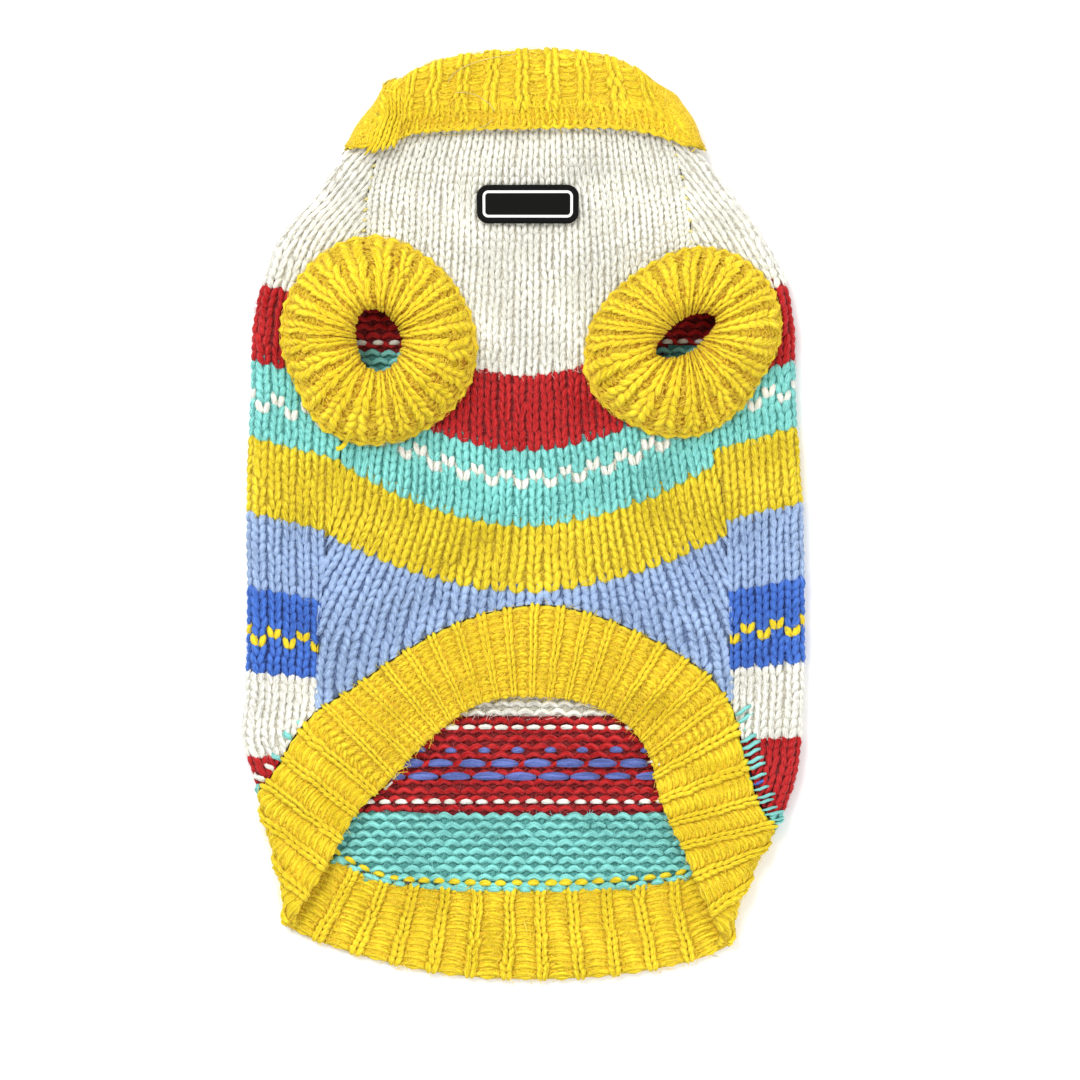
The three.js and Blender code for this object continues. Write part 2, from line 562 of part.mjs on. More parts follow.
function collar() {
  const columns = ["edgeIn", "edgeY", "foldIn", "foldY"];
  const right = evenRows(COLLAR_RIGHT, columns, COLLAR_RIGHT_ROWS);
  const left = evenRows(COLLAR_LEFT, columns, COLLAR_LEFT_ROWS);
  const bend = (CLOTH + COLLAR_LAYER_GAP) / 2;
  const onRight = (station) => station <= COLLAR_RIGHT_RIBS;
  const row = (station) => {
    if (onRight(station)) return right(station / COLLAR_RIGHT_RIBS);
    return left((station - COLLAR_RIGHT_RIBS) / COLLAR_LEFT_RIBS);
  };
  const ribs = ribStations(COLLAR_RIGHT_RIBS + COLLAR_LEFT_RIBS);
  const stations = roundTheRoll(ribs, (station) => row(station).edgeIn, NECK_EDGE.sideY);
  return clothPiece(stations, collarPath(), (station, { climb, turn }, face) => {
    const side = onRight(station) ? 1 : -1;
    const at = row(station);
    const length = Math.hypot(at.foldIn - at.edgeIn, at.foldY - at.edgeY);
    const seam = neckSeamWay(side, at);
    const up = facingUp(at.edgeIn, at.edgeY);
    const rise = face > 0 && turn > 0 ? RIB.height * ribRise(station) * up * Math.sin(turn / 2) : 0;
    const radius = bend + face * (CLOTH / 2) + rise;
    const way = (turn === 0 ? mix(seam, 1, climb) : climb) + (radius * Math.sin(turn)) / length;
    const y = mix(at.edgeY, at.foldY, way);
    return laid(side, mix(at.edgeIn, at.foldIn, way), y, bend - radius * Math.cos(turn));
  });
}

function cuffRadius(cuff, column, angle) {
  const rows = [...cuff.radii, { ...cuff.radii[0], angle: 360 }];
  const padded = [
    { ...cuff.radii[cuff.radii.length - 1], angle: cuff.radii[cuff.radii.length - 1].angle - 360 },
    ...rows,
    { ...cuff.radii[1], angle: cuff.radii[1].angle + 360 },
  ];
  return along(padded, "angle", column, ((angle % 360) + 360) % 360);
}

function sleeveCuff(cuff) {
  const stations = ribStations(CUFF_RIBS).slice(1, -1);
  return ringPiece(stations, (station) => {
    const angle = (station / CUFF_RIBS) * 360;
    const rim = cuffRadius(cuff, "rim", angle);
    const hole = cuffRadius(cuff, "hole", angle);
    const flat = CUFF_SECTION.map((row) => new THREE.Vector2(mix(hole, rim, row.out), row.up));
    const direction = THREE.MathUtils.degToRad(angle);
    return flat.map((point, k) => {
      const before = flat[(k + flat.length - 1) % flat.length];
      const after = flat[(k + 1) % flat.length];
      const run = after.clone().sub(before).normalize();
      const rise = CUFF_SECTION[k].rib * CUFF_RIB_HEIGHT * ribRise(station);
      const radius = point.x + run.y * rise;
      const x = cuff.x + radius * Math.cos(direction);
      const y = cuff.y + radius * Math.sin(direction);
      return new THREE.Vector3(x, y, upperHeight(x, y) + CLOTH / 2 + point.y - run.x * rise);
    });
  });
}

function toManifold(geometry) {
  const bare = geometry.clone();
  bare.deleteAttribute("normal");
  bare.deleteAttribute("uv");
  const merged = mergeVertices(bare);
  const mesh = new wasm.Mesh({
    numProp: 3,
    vertProperties: merged.attributes.position.array,
    triVerts: new Uint32Array(merged.index.array),
  });
  return new wasm.Manifold(mesh);
}

function fromManifold(solid) {
  const mesh = solid.getMesh();
  const geometry = new THREE.BufferGeometry();
  geometry.setAttribute("position", new THREE.BufferAttribute(mesh.vertProperties, 3));
  geometry.setIndex(new THREE.BufferAttribute(mesh.triVerts, 1));
  geometry.computeVertexNormals();
  return geometry;
}

// A prism through the upper layer only, where a sleeve opens into the body.
function armhole(cuff) {
  const outline = steps(DIVIDE.armhole).slice(1).map((share) => {
    const angle = share * 360;
    const radius = cuffRadius(cuff, "hole", angle) + ARMHOLE_MARGIN;
    const direction = THREE.MathUtils.degToRad(angle);
    return new THREE.Vector2(cuff.x + radius * Math.cos(direction), cuff.y + radius * Math.sin(direction));
  });
  const shape = new THREE.Shape(outline);
  const prism = new THREE.ExtrudeGeometry(shape, { depth: ARMHOLE_CUT_DEPTH, bevelEnabled: false });
  return toManifold(prism.translate(0, 0, CLOTH + LAYER_GAP / 2));
}

function cutArmholes(geometry) {
  const cut = toManifold(geometry).subtract(armhole(CUFF_LEFT)).subtract(armhole(CUFF_RIGHT));
  return fromManifold(cut);
}

// Rounded rectangle about the middle of the label, smaller all round by inset.
function labelOutline(inset, height) {
  const corner = LABEL.corner - inset;
  const corners = [
    { signX: 1, signY: 1, start: 0 },
    { signX: -1, signY: 1, start: 90 },
    { signX: -1, signY: -1, start: 180 },
    { signX: 1, signY: -1, start: 270 },
  ];
  return corners.flatMap(({ signX, signY, start }) =>
    steps(DIVIDE.labelCorner).map((share) => {
      const angle = THREE.MathUtils.degToRad(start + share * 90);
      const x = signX * (LABEL.width / 2 - LABEL.corner) + corner * Math.cos(angle);
      const y = signY * (LABEL.height / 2 - LABEL.corner) + corner * Math.sin(angle);
      return new THREE.Vector3(LABEL.x + x, LABEL.y + y, height);
    }),
  );
}

// A solid between closed outlines that follow each other, closed with a fan at both ends.
function stackedOutlines(outlines) {
  const count = outlines[0].length;
  const points = outlines.flat();
  const triangles = [];
  for (let ring = 0; ring < outlines.length - 1; ring += 1) {
    for (let k = 0; k < count; k += 1) {
      const next = (k + 1) % count;
      const [a, b] = [ring * count + k, ring * count + next];
      triangles.push([a, b, b + count], [a, b + count, a + count]);
    }
  }
  const closeEnd = (ring, turned) => {
    const middle = new THREE.Vector3();
    outlines[ring].forEach((point) => middle.addScaledVector(point, 1 / count));
    points.push(middle);
    for (let k = 0; k < count; k += 1) {
      const ends = [ring * count + k, ring * count + ((k + 1) % count)];
      triangles.push([points.length - 1, ...(turned ? ends.reverse() : ends)]);
    }
  };
  closeEnd(0, true);
  closeEnd(outlines.length - 1, false);
  return solidGeometry(points, triangles);
}

// A blank moulded patch with a thin raised line near its edge.
function labelPatch() {
  const halfX = LABEL.width / 2;
  const halfY = LABEL.height / 2;
  const heights = [-1, 1].flatMap((signX) =>
    [-1, 1].map((signY) => upperHeight(LABEL.x + signX * halfX, LABEL.y + signY * halfY)),
  );
  const low = Math.max(...heights) + CLOTH / 2 + LABEL.gap;
  const top = low + LABEL.thickness;
  const { inset, width, height, slope } = LABEL_LINE;
  return stackedOutlines([
    labelOutline(LABEL_EDGE_ROUND, low),
    labelOutline(0, low + LABEL_EDGE_ROUND),
    labelOutline(0, top - LABEL_EDGE_ROUND),
    labelOutline(LABEL_EDGE_ROUND, top),
    labelOutline(inset, top),
    labelOutline(inset + slope, top + height),
    labelOutline(inset + width - slope, top + height),
    labelOutline(inset + width, top),
  ]);
}

function piece(name, geometry, material) {
  const mesh = new THREE.Mesh(geometry, material);
  mesh.name = name;
  return mesh;
}

const body = new THREE.Group();
body.add(piece("back_panel", cutArmholes(backPanel()), cloth(COLOURS.cream)));
body.add(piece("belly_panel", cutArmholes(bellyPanel()), cloth(COLOURS.cream)));
body.add(piece("label_patch", labelPatch(), rubber()));

const ribbing = new THREE.Group();
ribbing.add(piece("collar", collar(), cloth(COLOURS.yellow)));
ribbing.add(piece("cuff_left", sleeveCuff(CUFF_LEFT), cloth(COLOURS.yellow)));
ribbing.add(piece("cuff_right", sleeveCuff(CUFF_RIGHT), cloth(COLOURS.yellow)));
ribbing.add(piece("hem_belly", bellyHem(), cloth(COLOURS.yellow)));
ribbing.add(piece("hem_back", backHem(), cloth(COLOURS.yellow)));

// The origin is the middle of the laid outline.
const sweater = new THREE.Group();
sweater.add(body, ribbing);
const middle = new THREE.Box3().setFromObject(sweater).getCenter(new THREE.Vector3());
sweater.position.set(-middle.x, -middle.y, 0);

export default sweater;
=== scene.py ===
# A striped knit dog sweater laid flat, belly side up: cloth shells with every visible stitch on them.
import math

import bmesh
import bpy
import numpy as np
from mathutils import Matrix, Vector
from mathutils.bvhtree import BVHTree


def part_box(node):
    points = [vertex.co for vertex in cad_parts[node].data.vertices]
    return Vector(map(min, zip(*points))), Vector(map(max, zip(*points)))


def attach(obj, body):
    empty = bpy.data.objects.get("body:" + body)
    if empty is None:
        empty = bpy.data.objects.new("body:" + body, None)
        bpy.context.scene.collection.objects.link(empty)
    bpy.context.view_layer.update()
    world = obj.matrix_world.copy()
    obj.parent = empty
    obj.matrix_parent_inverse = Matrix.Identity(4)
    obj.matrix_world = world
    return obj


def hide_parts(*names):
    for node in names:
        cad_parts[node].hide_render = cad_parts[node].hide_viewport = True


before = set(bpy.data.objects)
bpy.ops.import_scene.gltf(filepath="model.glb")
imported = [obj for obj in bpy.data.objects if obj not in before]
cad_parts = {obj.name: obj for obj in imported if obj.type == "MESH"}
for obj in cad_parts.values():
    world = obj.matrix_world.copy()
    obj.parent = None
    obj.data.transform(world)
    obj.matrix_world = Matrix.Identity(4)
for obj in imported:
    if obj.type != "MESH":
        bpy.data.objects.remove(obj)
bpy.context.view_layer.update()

MM = 0.001
ORIGIN_SHIFT = (-0.164, -0.638, 0.0)  # mm, from the sizes below to the frame's origin

# Sizes, in millimetres as in the part's source
CLOTH = 3.0
LAYER_GAP = 0.8
COLLAR_LAYER_GAP = 0.8
FOLD_RADIUS = 3.2
NECK_FOLD = {"from": 105.0, "to": 127.0, "radius": 1.9}
FOLD_REACH = 30.0
NECK_LIFT = {"from": 113.0, "to": 127.0, "height": CLOTH + COLLAR_LAYER_GAP}
NECK_EDGE = {"side_y": 133.0, "middle_y": 138.5, "half_width": 57.0}


def table(columns, *rows):
    """Rows of numbers under named columns."""
    return {name: np.array([row[k] for row in rows], float) for k, name in enumerate(columns.split())}


OUTLINE = table(
    "y left right seam_left seam_right",
    (161.0, -42.5, 41.5, -41.0, 40.0),
    (154.0, -45.0, 45.5, -43.0, 42.0),
    (147.9, -47.4, 49.0, -44.5, 44.0),
    (143.7, -49.8, 51.6, -45.5, 46.0),
    (139.5, -53.4, 54.7, -47.0, 49.0),
    (135.0, -56.6, 56.8, -48.5, 50.5),
    (130.0, -59.3, 58.8, -50.0, 51.8),
    (124.8, -64.2, 63.2, -52.3, 53.3),
    (117.8, -69.5, 68.8, -54.3, 55.1),
    (110.8, -75.2, 74.2, -55.5, 56.5),
    (103.8, -81.8, 79.7, -56.0, 57.5),
    (96.8, -86.7, 83.9, -56.5, 58.2),
    (82.8, -92.3, 91.2, -58.0, 59.5),
    (68.8, -95.4, 94.0, -60.0, 60.8),
    (40.8, -96.5, 94.9, -62.8, 63.0),
    (5.8, -97.9, 97.3, -66.7, 68.8),
    (-29.0, -97.6, 97.9, -72.0, 71.6),
    (-64.2, -98.5, 97.6, -73.2, 72.5),
    (-78.2, -99.5, 96.8, -72.5, 73.5),
    (-90.0, -95.8, 95.3, -72.0, 74.0),
    (-106.0, -92.3, 89.8, -72.0, 74.0),
    (-120.2, -88.2, 82.3, -72.0, 74.0),
    (-134.2, -85.6, 76.0, -72.0, 74.0),
    (-150.0, -83.9, 72.0, -72.0, 74.0),
    (-166.0, -82.5, 68.0, -72.0, 74.0),
)
BELLY_HEM = table(
    "seam_x seam_y edge_x edge_y",
    (-73.3, -68.0, -49.0, -94.0),
    (-61.4, -60.7, -38.5, -82.5),
    (-45.7, -49.5, -28.5, -73.5),
    (-28.5, -39.4, -18.4, -66.7),
    (-12.0, -33.6, -7.5, -63.4),
    (5.0, -31.0, 3.5, -63.2),
    (22.0, -34.0, 15.0, -64.0),
    (38.0, -40.0, 25.5, -66.8),
    (54.0, -48.6, 35.5, -72.8),
    (66.0, -57.5, 41.5, -80.0),
    (72.6, -67.0, 44.3, -86.2),
)
BACK_HEM_LEFT = table(
    "seam_in seam_y edge_in edge_y",
    (0.0, 0.0, 0.0, 0.0),
    (14.0, -83.1, 34.4, -103.0),
    (0.0, -97.5, 21.5, -118.0),
    (-8.2, -108.0, 11.0, -131.0),
    (-19.0, -117.5, 0.0, -143.0),
    (-35.5, -127.2, -21.4, -152.5),
    (-60.6, -130.0, -52.9, -160.0),
    (-86.1, -130.6, -82.7, -162.3),
    (-111.6, -130.2, -112.9, -161.8),
)
BACK_HEM_RIGHT = table(
    "seam_in seam_y edge_in edge_y",
    (-104.2, -130.2, -98.6, -160.3),
    (-77.7, -130.6, -68.9, -162.3),
    (-50.3, -129.8, -38.6, -160.8),
    (-27.4, -127.2, -13.1, -156.0),
    (-18.5, -123.2, 0.0, -149.5),
    (-9.0, -117.5, 12.0, -136.0),
    (0.0, -110.0, 27.0, -118.5),
    (11.5, -98.9, 38.5, -107.5),
    (19.5, -83.5, 47.0, -96.5),
    (0.0, 0.0, 0.0, 0.0),
)
COLLAR_RIGHT = table(
    "edge_in edge_y fold_in fold_y",
    (106.0, 130.5, 92.0, 150.0),
    (95.0, 134.0, 79.0, 155.5),
    (76.7, 135.2, 60.6, 159.0),
    (56.5, 135.6, 42.5, 160.0),
    (36.4, 135.9, 24.2, 159.6),
    (20.6, 135.3, 12.3, 157.0),
    (10.6, 133.0, 5.4, 152.5),
    (0.0, 129.0, 0.0, 146.0),
    (-11.4, 131.0, -6.3, 151.0),
    (-21.8, 132.5, -13.5, 155.0),
    (-37.4, 133.5, -25.5, 157.5),
    (-57.2, 134.0, -43.1, 158.3),
    (-77.2, 133.5, -61.5, 157.5),
)
COLLAR_LEFT = table(
    "edge_in edge_y fold_in fold_y",
    (-77.3, 133.5, -61.6, 157.5),
    (-57.1, 134.0, -43.3, 158.3),
    (-37.3, 133.5, -25.6, 157.5),
    (-20.1, 132.3, -11.8, 154.5),
    (-9.8, 131.0, -4.7, 151.0),
    (0.0, 129.0, 0.0, 148.0),
    (6.0, 129.6, 1.0, 149.3),
    (11.0, 130.5, 1.8, 150.0),
)
CUFF_LEFT = {
    "x": -51.1,
    "y": 61.8,
    "radii": table(
        "angle rim hole",
        (-30, 33.6, 8.4),
        (0, 32.4, 7.9),
        (30, 31.3, 7.8),
        (60, 31.8, 8.2),
        (90, 35.0, 10.2),
        (120, 34.8, 11.0),
        (150, 34.0, 9.2),
        (180, 33.0, 7.8),
        (210, 32.0, 8.0),
        (240, 35.5, 10.2),
        (270, 35.2, 10.8),
        (300, 33.7, 10.0),
        (330, 33.6, 8.4),
        (360, 32.4, 7.9),
        (390, 31.3, 7.8),
    ),
}
CUFF_RIGHT = {
    "x": 56.2,
    "y": 63.2,
    "radii": table(
        "angle rim hole",
        (-30, 28.8, 5.6),
        (0, 31.6, 7.2),
        (30, 32.8, 11.6),
        (60, 31.6, 8.8),
        (90, 29.0, 6.4),
        (120, 26.4, 5.6),
        (150, 28.3, 5.8),
        (180, 33.2, 7.6),
        (210, 36.6, 12.0),
        (240, 35.0, 8.8),
        (270, 34.0, 6.2),
        (300, 31.2, 5.4),
        (330, 28.8, 5.6),
        (360, 31.6, 7.2),
        (390, 32.8, 11.6),
    ),
}
CUFF_SECTION = table(
    "number out up",
    (0, 1.0, 0.35),
    (1, 1.0, 2.2),
    (2, 0.93, 4.8),
    (3, 0.75, 10.2),
    (4, 0.53, 14.5),
    (5, 0.32, 15.8),
    (6, 0.14, 13.8),
    (7, 0.02, 8.6),
    (8, 0.04, 0.35),
)
LABEL = {"x": 0.8, "y": 109.3, "width": 35.8, "height": 13.7, "corner": 4.2}

RIB_RISE = 0.9
BELLY_HEM_RIBS = 18
BACK_HEM_HALF_RIBS = 12
COLLAR_RIGHT_RIBS = 14
COLLAR_LEFT_RIBS = 7
CUFF_RIBS = 22

# Curves and surfaces of the laid cloth


def along(rows, key, column, at):
    """Smooth curve through one column of a table, over a key column that runs up or down."""
    keys, values = rows[key], rows[column]
    if keys[-1] < keys[0]:
        keys, values = keys[::-1], values[::-1]
    at = np.asarray(at, float)
    i = np.clip(np.searchsorted(keys, at, side="left") - 1, 0, len(keys) - 2)
    run = keys[i + 1] - keys[i]
    slopes = np.diff(values) / np.diff(keys)
    here = slopes[i]
    t = (at - keys[i]) / run
    before = np.where(i > 0, (here + slopes[np.maximum(i - 1, 0)]) / 2, here)
    after = np.where(i < len(keys) - 2, (here + slopes[np.minimum(i + 1, len(keys) - 2)]) / 2, here)
    rest = 1 - t
    curve = values[i] * rest * rest * (1 + 2 * t) + values[i + 1] * t * t * (3 - 2 * t)
    curve = curve + run * t * rest * (before * rest - after * t)
    curve = np.where(t < 0, values[i] + here * t * run, curve)
    return np.where(t > 1, values[i + 1] + here * (t - 1) * run, curve)


def ease(low, high, x):
    t = np.clip((np.asarray(x, float) - low) / (high - low), 0, 1)
    return t * t * (3 - 2 * t)


def mix(a, b, t):
    return a + (b - a) * t


def fold_at(side, y):
    left, right = along(OUTLINE, "y", "left", y), along(OUTLINE, "y", "right", y)
    return np.where(np.asarray(side) < 0, left, right)


def seam_at(side, y):
    left, right = along(OUTLINE, "y", "seam_left", y), along(OUTLINE, "y", "seam_right", y)
    return np.where(np.asarray(side) < 0, left, right)


def fold_radius(y):
    return mix(FOLD_RADIUS, NECK_FOLD["radius"], ease(NECK_FOLD["from"], NECK_FOLD["to"], y))


def quarter_roll(y):
    return fold_radius(y) * math.pi / 2


def under_height(y):
    return CLOTH / 2 + NECK_LIFT["height"] * ease(NECK_LIFT["from"], NECK_LIFT["to"], y)


def upper_height(x, y):
    """Height of the middle of the upper layer's cloth."""
    inward = np.minimum(x - fold_at(-1, y), fold_at(1, y) - x) - quarter_roll(y)
    held = 2 * fold_radius(y) - CLOTH - LAYER_GAP
    settle = np.exp(-((np.maximum(0, inward) / FOLD_REACH) ** 2))
    return under_height(y) + CLOTH + LAYER_GAP + held * settle


def laid(side, inward, y, out):
    """A point of the laid cloth, measured in from a side fold, and out from the middle of the cloth."""
    side, inward, y, out = np.broadcast_arrays(*(np.asarray(a, float) for a in (side, inward, y, out)))
    radius, quarter = fold_radius(y), quarter_roll(y)
    fold, under = fold_at(side, y), under_height(y)
    turn = np.clip(inward, -quarter, quarter) / radius
    roll_x = fold - side * (quarter - (radius + out) * np.cos(turn))
    roll_z = under + radius + (radius + out) * np.sin(turn)
    flat_x = fold - side * np.abs(inward)
    flat_z = np.where(inward > 0, upper_height(flat_x, y) + out, under - out)
    rolled = np.abs(inward) < quarter
    return np.stack([np.where(rolled, roll_x, flat_x), y, np.where(rolled, roll_z, flat_z)], -1)


def neck_edge_y(x):
    share = np.minimum(1, np.abs(x / NECK_EDGE["half_width"]))
    return mix(NECK_EDGE["middle_y"], NECK_EDGE["side_y"], share**2)


def rib_rise(station, narrow=0.5):
    """Height of the ribs, one for each whole number of station, with its middle halfway."""
    share = station - np.floor(station)
    return RIB_RISE * ease(narrow, 0.0, np.abs(share - 0.5))


# Body: rows that sag to the middle of the belly
WALE, ROW = 5.1, 3.3  # a plain stitch's width and height
BELLY_WALES = 26
BELLY_FLECK_ROW = 37
BELLY_SAG = table("y sag", (138.5, -4.0), (110.0, 6.0), (80.0, 18.0), (47.8, 27.0), (24.0, 24.0),
                  (-1.2, 22.4), (-25.6, 20.0), (-60.0, 18.0), (-100.0, 18.0))
SAG_POWER = 1.76
FLAP_DROP = table("y drop", (133.0, 0.0), (100.0, 2.0), (80.0, 6.0), (28.0, 7.5), (0.5, 6.6),
                  (-26.0, 5.0), (-55.0, 2.5), (-85.0, 0.0), (-130.0, 0.0))
FLAP_WIDTH = 28.0
FLAP_START = 8.0  # mm that the first wale lies round the fold
BACK_TOP = 134.0


def belly_y(wale, row):
    """Height and x of a stitch of the belly, counted in wales from the left seam and rows from the neck."""
    centre_y = NECK_EDGE["middle_y"] - row * ROW
    y = centre_y + 0.0
    for _ in range(7):
        fan = 1 + 0.32 * ease(10.0, -60.0, y)
        share = 0.5 + (wale / BELLY_WALES - 0.5) * fan
        left, right = seam_at(-1, y), seam_at(1, y)
        x = left + (right - left) * share
        reach = np.where(x < 0, x / left, x / right)
        y = centre_y + along(BELLY_SAG, "y", "sag", centre_y) * np.minimum(1.2, np.abs(reach)) ** SAG_POWER
    return x, y, share, centre_y


def belly_place(wale, row, out):
    x, y, _, _ = belly_y(wale, row)
    x = np.clip(x, seam_at(-1, y) - 0.5, seam_at(1, y) + 0.5)
    y = np.maximum(y, along(BELLY_HEM, "seam_x", "seam_y", x) + 0.2)
    return laid(1, fold_at(1, y) - x, y, out)


def flap_y(inward, row):
    fold_y = BACK_TOP - row * ROW
    return fold_y - along(FLAP_DROP, "y", "drop", fold_y) * np.clip(inward / FLAP_WIDTH, -0.15, 1.2), fold_y


def flap_place(side):
    def place(wale, row, out):
        inward = wale * WALE - FLAP_START
        y, _ = flap_y(inward, row)
        width = np.abs(fold_at(side, y) - seam_at(side, y))
        inward = np.minimum(inward, width + 0.5)
        return laid(side, inward, np.maximum(y, hem_seam_y(side, inward) + 0.2), out)

    return place


BACK_WALES = 36


def back_place(wale, row, out):
    """The outside of the back, underneath, between the two side folds."""
    y = BACK_TOP - row * ROW
    half = (fold_at(1, y) - fold_at(-1, y)) / 2 - quarter_roll(y)
    x = fold_at(-1, y) + quarter_roll(y) + 2 * half * wale / BACK_WALES
    return np.stack([x, y, under_height(y) - out], -1)


INSIDE_ROW = 3.05
INSIDE_WALE = 5.7
INSIDE_LEFT, INSIDE_TOP = -79.8, -52.0


def inside_place(first_x, first_y):
    def place(wale, row, out):
        y = first_y - row * INSIDE_ROW
        x = first_x + wale * INSIDE_WALE
        return np.stack([x + 0 * y, y + 0 * x, under_height(y) + out + 0 * x], -1)

    return place


# Ribbed bands
COLUMNS_HEM = ("seam_in", "seam_y", "edge_in", "edge_y")
COLUMNS_BELLY_HEM = ("seam_x", "seam_y", "edge_x", "edge_y")
COLUMNS_COLLAR = ("edge_in", "edge_y", "fold_in", "fold_y")


def even_rows(rows, columns, first=0, last=None):
    """Turns a table of seam and edge rows into a function of the way along, from 0 to 1, at even lengths."""
    numbered = dict(rows, number=np.arange(len(rows[columns[0]]), dtype=float))
    last = len(rows[columns[0]]) - 1 if last is None else last
    numbers = np.linspace(first, last, 121)
    read = [along(numbered, "number", column, numbers) for column in columns]
    steps = np.hypot(np.diff((read[0] + read[2]) / 2), np.diff((read[1] + read[3]) / 2))
    length = np.concatenate([[0], np.cumsum(steps)])

    def at(share):
        number = np.interp(np.asarray(share) * length[-1], length, numbers)
        return [along(numbered, "number", column, number) for column in columns]

    return at


def hem_join(side, k):
    """Row k of the belly hem, measured in from a side fold as the back hem's rows are."""
    row = [BELLY_HEM[column][k] for column in COLUMNS_BELLY_HEM]
    seam_in = abs(float(fold_at(side, row[1])) - row[0])
    edge_in = abs(float(fold_at(side, row[3])) - row[2])
    return seam_in, row[1], edge_in, row[3]


for rows, side, end in ((BACK_HEM_LEFT, -1, 0), (BACK_HEM_RIGHT, 1, -1)):
    for column, value in zip(COLUMNS_HEM, hem_join(side, end)):
        rows[column][end] = value

belly_hem_at = even_rows(BELLY_HEM, COLUMNS_BELLY_HEM)
back_hem_left_at = even_rows(BACK_HEM_LEFT, COLUMNS_HEM, 0, 7)
back_hem_right_at = even_rows(BACK_HEM_RIGHT, COLUMNS_HEM, 1, 9)
collar_right_at = even_rows(COLLAR_RIGHT, COLUMNS_COLLAR, 0, 11)
collar_left_at = even_rows(COLLAR_LEFT, COLUMNS_COLLAR, 1, 7)

HEM_ROWS = 12


def belly_hem_place(station, row, out):
    station = np.clip(station, 0.03, BELLY_HEM_RIBS - 0.03)
    seam_x, seam_y, edge_x, edge_y = belly_hem_at(station / BELLY_HEM_RIBS)
    step = row / HEM_ROWS
    y = mix(seam_y, edge_y, step)
    x = mix(seam_x, edge_x, step)
    return laid(1, fold_at(1, y) - x, y, out)


def back_hem_at(station, row):
    station = np.clip(np.asarray(station, float), 0.03, 2 * BACK_HEM_HALF_RIBS - 0.03)
    left = back_hem_left_at(np.clip(station / BACK_HEM_HALF_RIBS, 0, 1))
    right = back_hem_right_at(np.clip(station / BACK_HEM_HALF_RIBS - 1, 0, 1))
    on_left = station <= BACK_HEM_HALF_RIBS
    seam_in, seam_y, edge_in, edge_y = (np.where(on_left, a, b) for a, b in zip(left, right))
    step = row / HEM_ROWS
    side = np.where(on_left, -1, 1)
    return side, mix(seam_in, edge_in, step), mix(seam_y, edge_y, step)


def back_hem_place(station, row, out):
    side, inward, y = back_hem_at(station, row)
    return laid(side, inward, y, out)


COLLAR_BEND = (CLOTH + COLLAR_LAYER_GAP) / 2


def collar_at(station):
    station = np.clip(np.asarray(station, float), 0.02, COLLAR_RIGHT_RIBS + COLLAR_LEFT_RIBS - 0.02)
    right = collar_right_at(np.clip(station / COLLAR_RIGHT_RIBS, 0, 1))
    left = collar_left_at(np.clip((station - COLLAR_RIGHT_RIBS) / COLLAR_LEFT_RIBS, 0, 1))
    on_right = station <= COLLAR_RIGHT_RIBS
    values = [np.where(on_right, a, b) for a, b in zip(right, left)]
    return np.where(on_right, 1, -1), values


def collar_place(station, way_mm, out):
    """A point of the collar: way_mm up its turned-down layer from the free edge, over the fold and down inside."""
    side, (edge_in, edge_y, fold_in, fold_y) = collar_at(station)
    out = np.asarray(out) * mix(0.3, 1.0, ease(0.0, 9.0, np.abs(edge_in)))
    length = np.hypot(fold_in - edge_in, fold_y - edge_y)
    bend_length = COLLAR_BEND * math.pi
    past = way_mm - length
    turn = math.pi - np.clip(past / COLLAR_BEND, 0, math.pi)
    way = np.where(past < 0, way_mm, np.where(past > bend_length, 2 * length + bend_length - way_mm, length)) / length
    radius = COLLAR_BEND + out
    way = way + radius * np.sin(turn) / length
    y = mix(edge_y, fold_y, way)
    inward = mix(edge_in, fold_in, way)
    inward = np.where(np.sign(inward) == np.sign(edge_in), inward, 0)
    return laid(side, inward, y, COLLAR_BEND - radius * np.cos(turn))


def cuff_radius(cuff, column, angle):
    return along(cuff["radii"], "angle", column, np.mod(angle, 360.0))


def section_curve():
    """The cuff's section by length, from the rim over the top to the hole, at its mean radii."""
    numbers = np.linspace(0, 8, 161)
    out = along(CUFF_SECTION, "number", "out", numbers)
    up = along(CUFF_SECTION, "number", "up", numbers)
    length = np.concatenate([[0], np.cumsum(np.hypot(np.diff(out * 24.0), np.diff(up)))])
    return numbers, length


SECTION_NUMBERS, SECTION_LENGTH = section_curve()
CUFF_ROWS = 14


def cuff_place(cuff):
    def place(station, row, out):
        angle = np.asarray(station, float) / CUFF_RIBS * 360.0
        angle = angle + 3.0 * np.sin(np.radians(3 * angle + 40)) + 1.2 * np.sin(np.radians(7 * angle))
        rim, hole = cuff_radius(cuff, "rim", angle), cuff_radius(cuff, "hole", angle)

        def section(at):
            number = np.interp(at / CUFF_ROWS * SECTION_LENGTH[-1], SECTION_LENGTH, SECTION_NUMBERS)
            share = along(CUFF_SECTION, "number", "out", number)
            return mix(hole, rim, share), along(CUFF_SECTION, "number", "up", number)

        radius, up = section(row)
        ahead, back = section(np.clip(row + 0.2, 0, CUFF_ROWS)), section(np.clip(row - 0.2, 0, CUFF_ROWS))
        run = np.stack([ahead[0] - back[0], ahead[1] - back[1]])
        run = run / np.maximum(np.hypot(*run), 1e-6)
        radius = radius + run[1] * out
        up = up - run[0] * out
        direction = np.radians(angle)
        x = cuff["x"] + radius * np.cos(direction)
        y = cuff["y"] + radius * np.sin(direction)
        return np.stack([x, y, upper_height(x, y) + CLOTH / 2 + up], -1)

    return place


# Yarn colours and materials


def linear(*rgb):
    """A colour given from 0 to 255 as a screen shows it, for a shader."""
    return tuple(((c / 255 + 0.055) / 1.055) ** 2.4 if c > 10 else c / 255 / 12.92 for c in rgb) + (1.0,)


